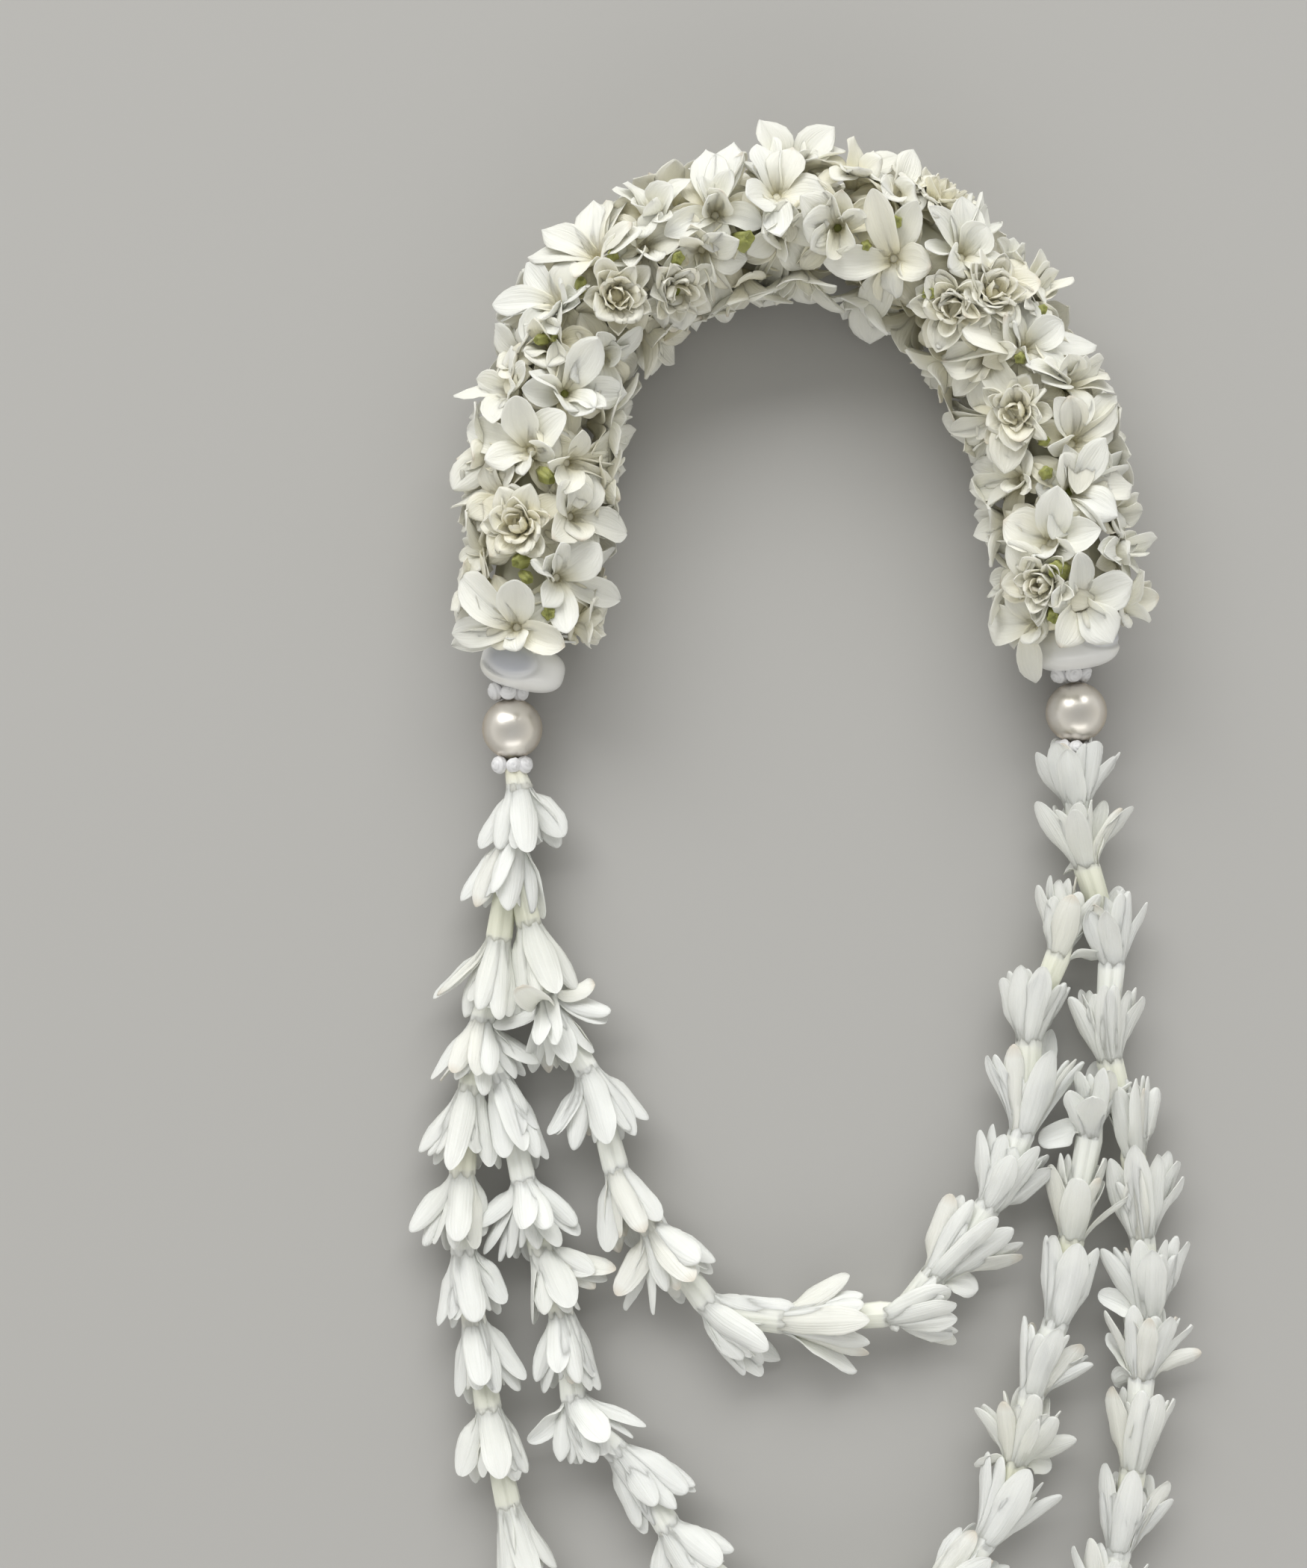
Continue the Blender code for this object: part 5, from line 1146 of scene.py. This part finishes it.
def shellMaterial(name):
    look = shellLooks[name]
    material, tree, shader = nodeSet(name)
    bands = noise(tree, ownPlace(tree), 90.0, 5.0)
    colour = ramp(tree, bands, [(0.25, look["dark"]), (0.7, look["light"])])
    if "hollow" in look:
        inside, lip, _, _ = petalMarks(tree)
        colour = mix(tree, lip, colour, look["lip"])
        # the mouth's hollow is painted darker and bluer: painted shade and painted sky reflection
        colour = mix(tree, calc(tree, "MULTIPLY", inside, 0.85), colour, look["hollow"])
    tree.links.new(colour, shader.inputs["Base Color"])
    tree.links.new(calc(tree, "ADD", look["roughness"], calc(tree, "MULTIPLY", bands, 0.12)),
                   shader.inputs["Roughness"])
    setValues(shader, {"Coat Weight": 0.25, "Coat Roughness": 0.2})
    addBump(tree, shader, bands, 0.12, 0.0004)
    return material


threadLook = {"strands": 900.0, "colours": [(0.0, (0.62, 0.60, 0.52)), (1.0, (0.84, 0.83, 0.78))]}


def threadMaterial():
    material, tree, shader = nodeSet("cottonThread")
    strand = node(tree, "ShaderNodeTexWave")
    setValues(strand, {"Scale": threadLook["strands"], "Distortion": 2.0})
    tree.links.new(ownPlace(tree), strand.inputs["Vector"])
    tree.links.new(ramp(tree, strand.outputs["Fac"], threadLook["colours"]), shader.inputs["Base Color"])
    addBump(tree, shader, strand.outputs["Fac"], 0.4, 0.0001)
    setValues(shader, {"Roughness": 0.8})
    return material


# Pearls, shells and rings

ornaments = {
    "left": {"shell": (700, 893), "pearl": (686, 976), "rings": [(680, 928), (686, 1023)], "turn": -13,
             "mouth": (-0.26, 0.14)},
    "right": {"shell": (1440, 866), "pearl": (1441, 954), "rings": [(1434, 904), (1438, 1002)], "turn": 8,
              "mouth": (0.60, 0.5)},
    "height": 0.0082,
    "shellHeight": 0.0112,
    "pearlRadius": 0.0081,
    "boreRadius": 0.0009,
    "shellSize": (0.0226, 0.0124, 0.0196),
    "ringRadius": 0.0038,
    "spiralSize": (0.0021, 0.0018),
    "spirals": 6,
}
spiralForm = {
    "firstTurn": 0.22,         # radians from its top
    "groove": (0.09, 0.13),    # its depth and width
    "bulge": 0.05,
    "growth": 0.12,
}
shellForm = {
    "powers": (2.7, 2.7, 2.4),
    "fullness": 2.6,
    "mouthSize": (0.58, 0.66),         # as shares of its half length and half width
    "grooveBand": (1.10, 0.13),        # where it runs round the mouth, and its width
    "lipBand": (1.42, 0.17),
    "rises": (0.0008, 0.0019, 0.0005),     # of the mouth's floor, the groove downwards and the lip
}


def closedGrid(rows, cols):
    # faces of a grid that closes both ways
    faces = []
    for i in range(rows):
        for j in range(cols):
            a = i * cols + j
            b = i * cols + (j + 1) % cols
            c = (i + 1) % rows * cols + (j + 1) % cols
            d = (i + 1) % rows * cols + j
            faces.append((a, d, c, b))
    return faces


def makePearl(name, x, y, material):
    radius = ornaments["pearlRadius"]
    bore = ornaments["boreRadius"]
    edge = math.asin(bore / radius)
    angles = np.linspace(edge, math.pi - edge, 40)
    profile = [(radius * math.sin(a), -radius * math.cos(a)) for a in angles]
    profile += [(bore, radius * math.cos(edge) * (1 - 2 * k / 5)) for k in range(1, 5)]
    cols = 64
    turns = np.linspace(0, math.tau, cols, endpoint=False)
    centre = spot(x, y, ornaments["height"])
    points = []
    for reach, along in profile:
        for turn in turns:
            points.append(centre + np.array((reach * math.cos(turn), along, reach * math.sin(turn))))
    heap = Heap()
    heap.add(np.array(points), closedGrid(len(profile), cols), np.ones((len(points), 4)))
    return heap.build(name, material)


def makeRing(name, x, y, luck, material):
    centre = spot(x, y, ornaments["height"])
    heap = Heap()
    rows, cols = 26, 36
    lat = np.linspace(0, math.pi, rows + 1)[1:-1]
    lon = np.linspace(0, math.tau, cols, endpoint=False)
    a, b = [grid.ravel() for grid in np.meshgrid(lat, lon, indexing="ij")]
    # each turn of the spiral doubles its distance from the shell's top
    form = spiralForm
    phase = (np.log2(a / form["firstTurn"]) - b / math.tau) % 1
    fade = 1 - ease((a - 1.5) / 0.4)
    deep, broad = form["groove"]
    groove = np.exp(-(np.minimum(phase, 1 - phase) / broad) ** 2)
    reach = 1 - deep * fade * groove + form["bulge"] * fade * np.sin(math.pi * phase)
    reach = reach * (1 + form["growth"] * b / math.tau * ease((a - 0.7) / 0.6))
    wide, tall = ornaments["spiralSize"]
    for number in range(ornaments["spirals"]):
        angle = math.tau * (number + luck.uniform(0.35, 0.65)) / ornaments["spirals"]
        outward = np.array((math.cos(angle), 0, math.sin(angle)))
        place = centre + outward * ornaments["ringRadius"] + np.array((0, luck.uniform(-0.0004, 0.0004), 0))
        top = unit(outward + np.array((0, 1, 0)) * luck.uniform(-0.9, 0.9)
                   + np.cross(outward, (0, 1, 0)) * luck.uniform(-0.5, 0.5))
        up = unit(across(np.array((0, 1, 0)), top))
        side = np.cross(top, up)
        size = reach * luck.uniform(0.9, 1.08)
        points = (place + top * (size * np.cos(a) * tall)[:, None]
                  + up * (size * np.sin(a) * np.cos(b) * wide)[:, None]
                  + side * (size * np.sin(a) * np.sin(b) * wide)[:, None])
        points = np.concatenate([points, [place + top * tall, place - top * tall]])
        heap.add(press(points), cappedFaces(len(lat), cols), np.ones((len(points), 4)))
    return heap.build(name, material)


def makeShell(name, spec, material):
    rows, cols = 70, 110
    half = np.array(ornaments["shellSize"]) / 2
    centre = spot(*spec["shell"], ornaments["shellHeight"])
    spin = math.radians(spec["turn"])
    lat = np.linspace(0, math.pi, rows + 1)[1:-1]
    lon = np.linspace(0, math.tau, cols, endpoint=False)
    a, b = np.meshgrid(lat, lon, indexing="ij")
    grid = np.stack([np.cos(a), np.sin(a) * np.cos(b), np.sin(a) * np.sin(b)], axis=-1).reshape(-1, 3)
    grid = np.concatenate([grid, [(1, 0, 0), (-1, 0, 0)]])       # its poles lie at its two ends
    # fuller than an ellipsoid, like a rounded pebble
    form = shellForm
    fill = sum(np.abs(axis) ** power for axis, power in zip(grid.T, form["powers"]))
    fill = fill ** (-1 / form["fullness"])
    points = grid * fill[:, None] * half
    x, y, z = (points / half).T
    upward = ease((z + 0.1) / 0.5)
    # the mouth: an oval hollow behind a rolled lip at one end of its top
    mouthX, mouthY = spec["mouth"]
    oval = ((x - mouthX) / form["mouthSize"][0]) ** 2 + ((y - mouthY) / form["mouthSize"][1]) ** 2
    inside = np.exp(-oval ** 1.6) * upward
    edge, lip = [np.exp(-((np.sqrt(oval) - place) / width) ** 2) * upward
                 for place, width in (form["grooveBand"], form["lipBand"])]
    outer = ease((mouthX - x if mouthX < 0 else x - mouthX) / 0.5 + 0.2)
    mouthRise, grooveDrop, lipRise = form["rises"]
    points[:, 2] += mouthRise * inside - grooveDrop * edge * (0.4 + 0.6 * outer) + lipRise * lip * outer
    turned = np.stack([points[:, 0] * math.cos(spin) - points[:, 1] * math.sin(spin),
                       points[:, 0] * math.sin(spin) + points[:, 1] * math.cos(spin), points[:, 2]], axis=1)
    turned += centre
    marks = np.ones((len(turned), 4))
    # the first mark places the painted shade and sky reflection of the hollow, the second the lip
    marks[:, 0] = np.clip(inside * 1.3, 0, 1)
    marks[:, 1] = lip * outer
    heap = Heap()
    heap.add(press(turned), cappedFaces(len(lat), cols), marks)
    return heap.build(name, material)


# Making the pieces

luck = random.Random(11)
petalSkin = petalMaterial()


def settle(piece, nodeName):
    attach(piece, "root")
    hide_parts(nodeName)


blooms = loopBlooms()
for nodeName, parts in loopPieces():
    heap = Heap()
    for loop, first, last in parts:
        for index in range(first, last + 1):
            strungBloom(heap, luck, blooms[loop, index], seenPetals.get((loop, index), []))
    settle(heap.build(nodeName + "_petals", petalSkin), nodeName)
print("loops are strung")

line = garlandLine()
throats = garlandThroats(line)
lastIndex = len(line) - 1
for number in range(garland["parts"]):
    start = round(lastIndex * number / garland["parts"])
    end = round(lastIndex * (number + 1) / garland["parts"])
    heap = Heap()
    garlandCore(heap, luck, line, start - 1, end)
    if number == 0:
        garlandEnd(heap, luck, line[0], unit(line[0] - line[1]))
    if number == garland["parts"] - 1:
        garlandEnd(heap, luck, line[-1], unit(line[-1] - line[-2]))
    for place, index, kind, petals, brown in throats:
        if start <= index < end or (number == garland["parts"] - 1 and index == end):
            garlandBloom(heap, luck, line, place, index, kind, petals, brown)
    for x, y, radius in greenBits:
        place = seenTip(line, x, y, 0.0172)
        index = nearestIndex(line, place)
        if start <= index < end:
            size = radius * sight["metresPerPixel"]
            way = unit(place - line[index])
            way = unit(way + np.array([luck.uniform(-0.5, 0.5) for _ in range(3)]))
            places = [place - way * size * 2.4, place - way * size, place, place + way * size * 0.8]
            tube(heap, luck, places, [size * 0.6, size, size * 0.85, size * 0.55], 1.0, sides=20,
                 ridge=0.13, marksFrom=0.45, marksTo=0.15, hollow=size * 0.5)
    settle(heap.build(f"garland_{number + 1}_petals", petalSkin), f"garland_{number + 1}")
print("garland is packed,", len(throats), "blooms")

pearlSkin = pearlMaterial()
shellSkin = shellMaterial("greyShell")
spiralSkin = shellMaterial("spiralShell")
for side in ("left", "right"):
    spec = ornaments[side]
    settle(makeShell(f"{side}_shell_fine", spec, shellSkin), f"{side}_shell")
    settle(makePearl(f"{side}_pearl_fine", *spec["pearl"], pearlSkin), f"{side}_pearl")
    for ringName, (x, y) in zip(("upper", "lower"), spec["rings"]):
        ring = makeRing(f"{side}_{ringName}_spirals", x, y, luck, spiralSkin)
        settle(ring, f"{side}_{ringName}_ring")

threadSkin = threadMaterial()
for nodeName in ("main_thread", "outer_thread", "middle_thread", "inner_thread"):
    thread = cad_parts[nodeName]
    thread.data.materials.clear()
    thread.data.materials.append(threadSkin)
print("ornaments and threads are done")

# The stage

stage = {
    "floorColour": (0.42, 0.414, 0.402),
    # sky colours from the horizon up
    "sky": [(0.0, (0.33, 0.325, 0.315)), (0.07, (0.86, 0.85, 0.815)), (1.0, (0.40, 0.40, 0.39))],
    "lights": [
        {"name": "windowLight", "place": (-0.90, 4.60, 3.70), "size": (8.5, 2.8), "power": 370,
         "colour": (1.0, 1.0, 0.985)},
        {"name": "fillLight", "place": (0.5, -5.2, 2.9), "size": (5.5, 1.8), "power": 42,
         "colour": (1.0, 0.99, 0.97)},
    ],
}
bpy.ops.mesh.primitive_plane_add(size=40, location=(0, 0, 0))
floor = bpy.context.object
floor.name = "paleFloor"
material, tree, shader = nodeSet("paleFloor")
shader.inputs["Base Color"].default_value = (*stage["floorColour"], 1)
shader.inputs["Roughness"].default_value = 0.85
floor.data.materials.append(material)

world = bpy.data.worlds.new("softSky")
bpy.context.scene.world = world
world.use_nodes = True
tree = world.node_tree
ways = node(tree, "ShaderNodeTexCoord")
split = node(tree, "ShaderNodeSeparateXYZ")
tree.links.new(ways.outputs["Generated"], split.inputs[0])
tree.links.new(ramp(tree, split.outputs[2], stage["sky"]), tree.nodes["Background"].inputs[0])
for spec in stage["lights"]:
    lamp = bpy.data.lights.new(spec["name"], "AREA")
    lamp.shape = "RECTANGLE"
    lamp.size, lamp.size_y = spec["size"]
    lamp.energy = spec["power"]
    lamp.color = spec["colour"]
    light = bpy.data.objects.new(spec["name"], lamp)
    light.location = spec["place"]
    light.rotation_euler = Vector([-v for v in spec["place"]]).to_track_quat("-Z", "Y").to_euler()
    bpy.context.scene.collection.objects.link(light)
bpy.context.scene.view_settings.view_transform = "Standard"

camera = bpy.data.cameras.new("photoCamera")
camera.sensor_width = 36
camera.sensor_fit = "HORIZONTAL"
frameWidth = sight["framePixels"] * sight["metresPerPixel"]
camera.lens = camera.sensor_width * (sight["eye"][2] - sight["loopHeight"]) / frameWidth
eye = bpy.data.objects.new("photoCamera", camera)
eye.location = sight["eye"]
bpy.context.scene.collection.objects.link(eye)
bpy.context.scene.camera = eye
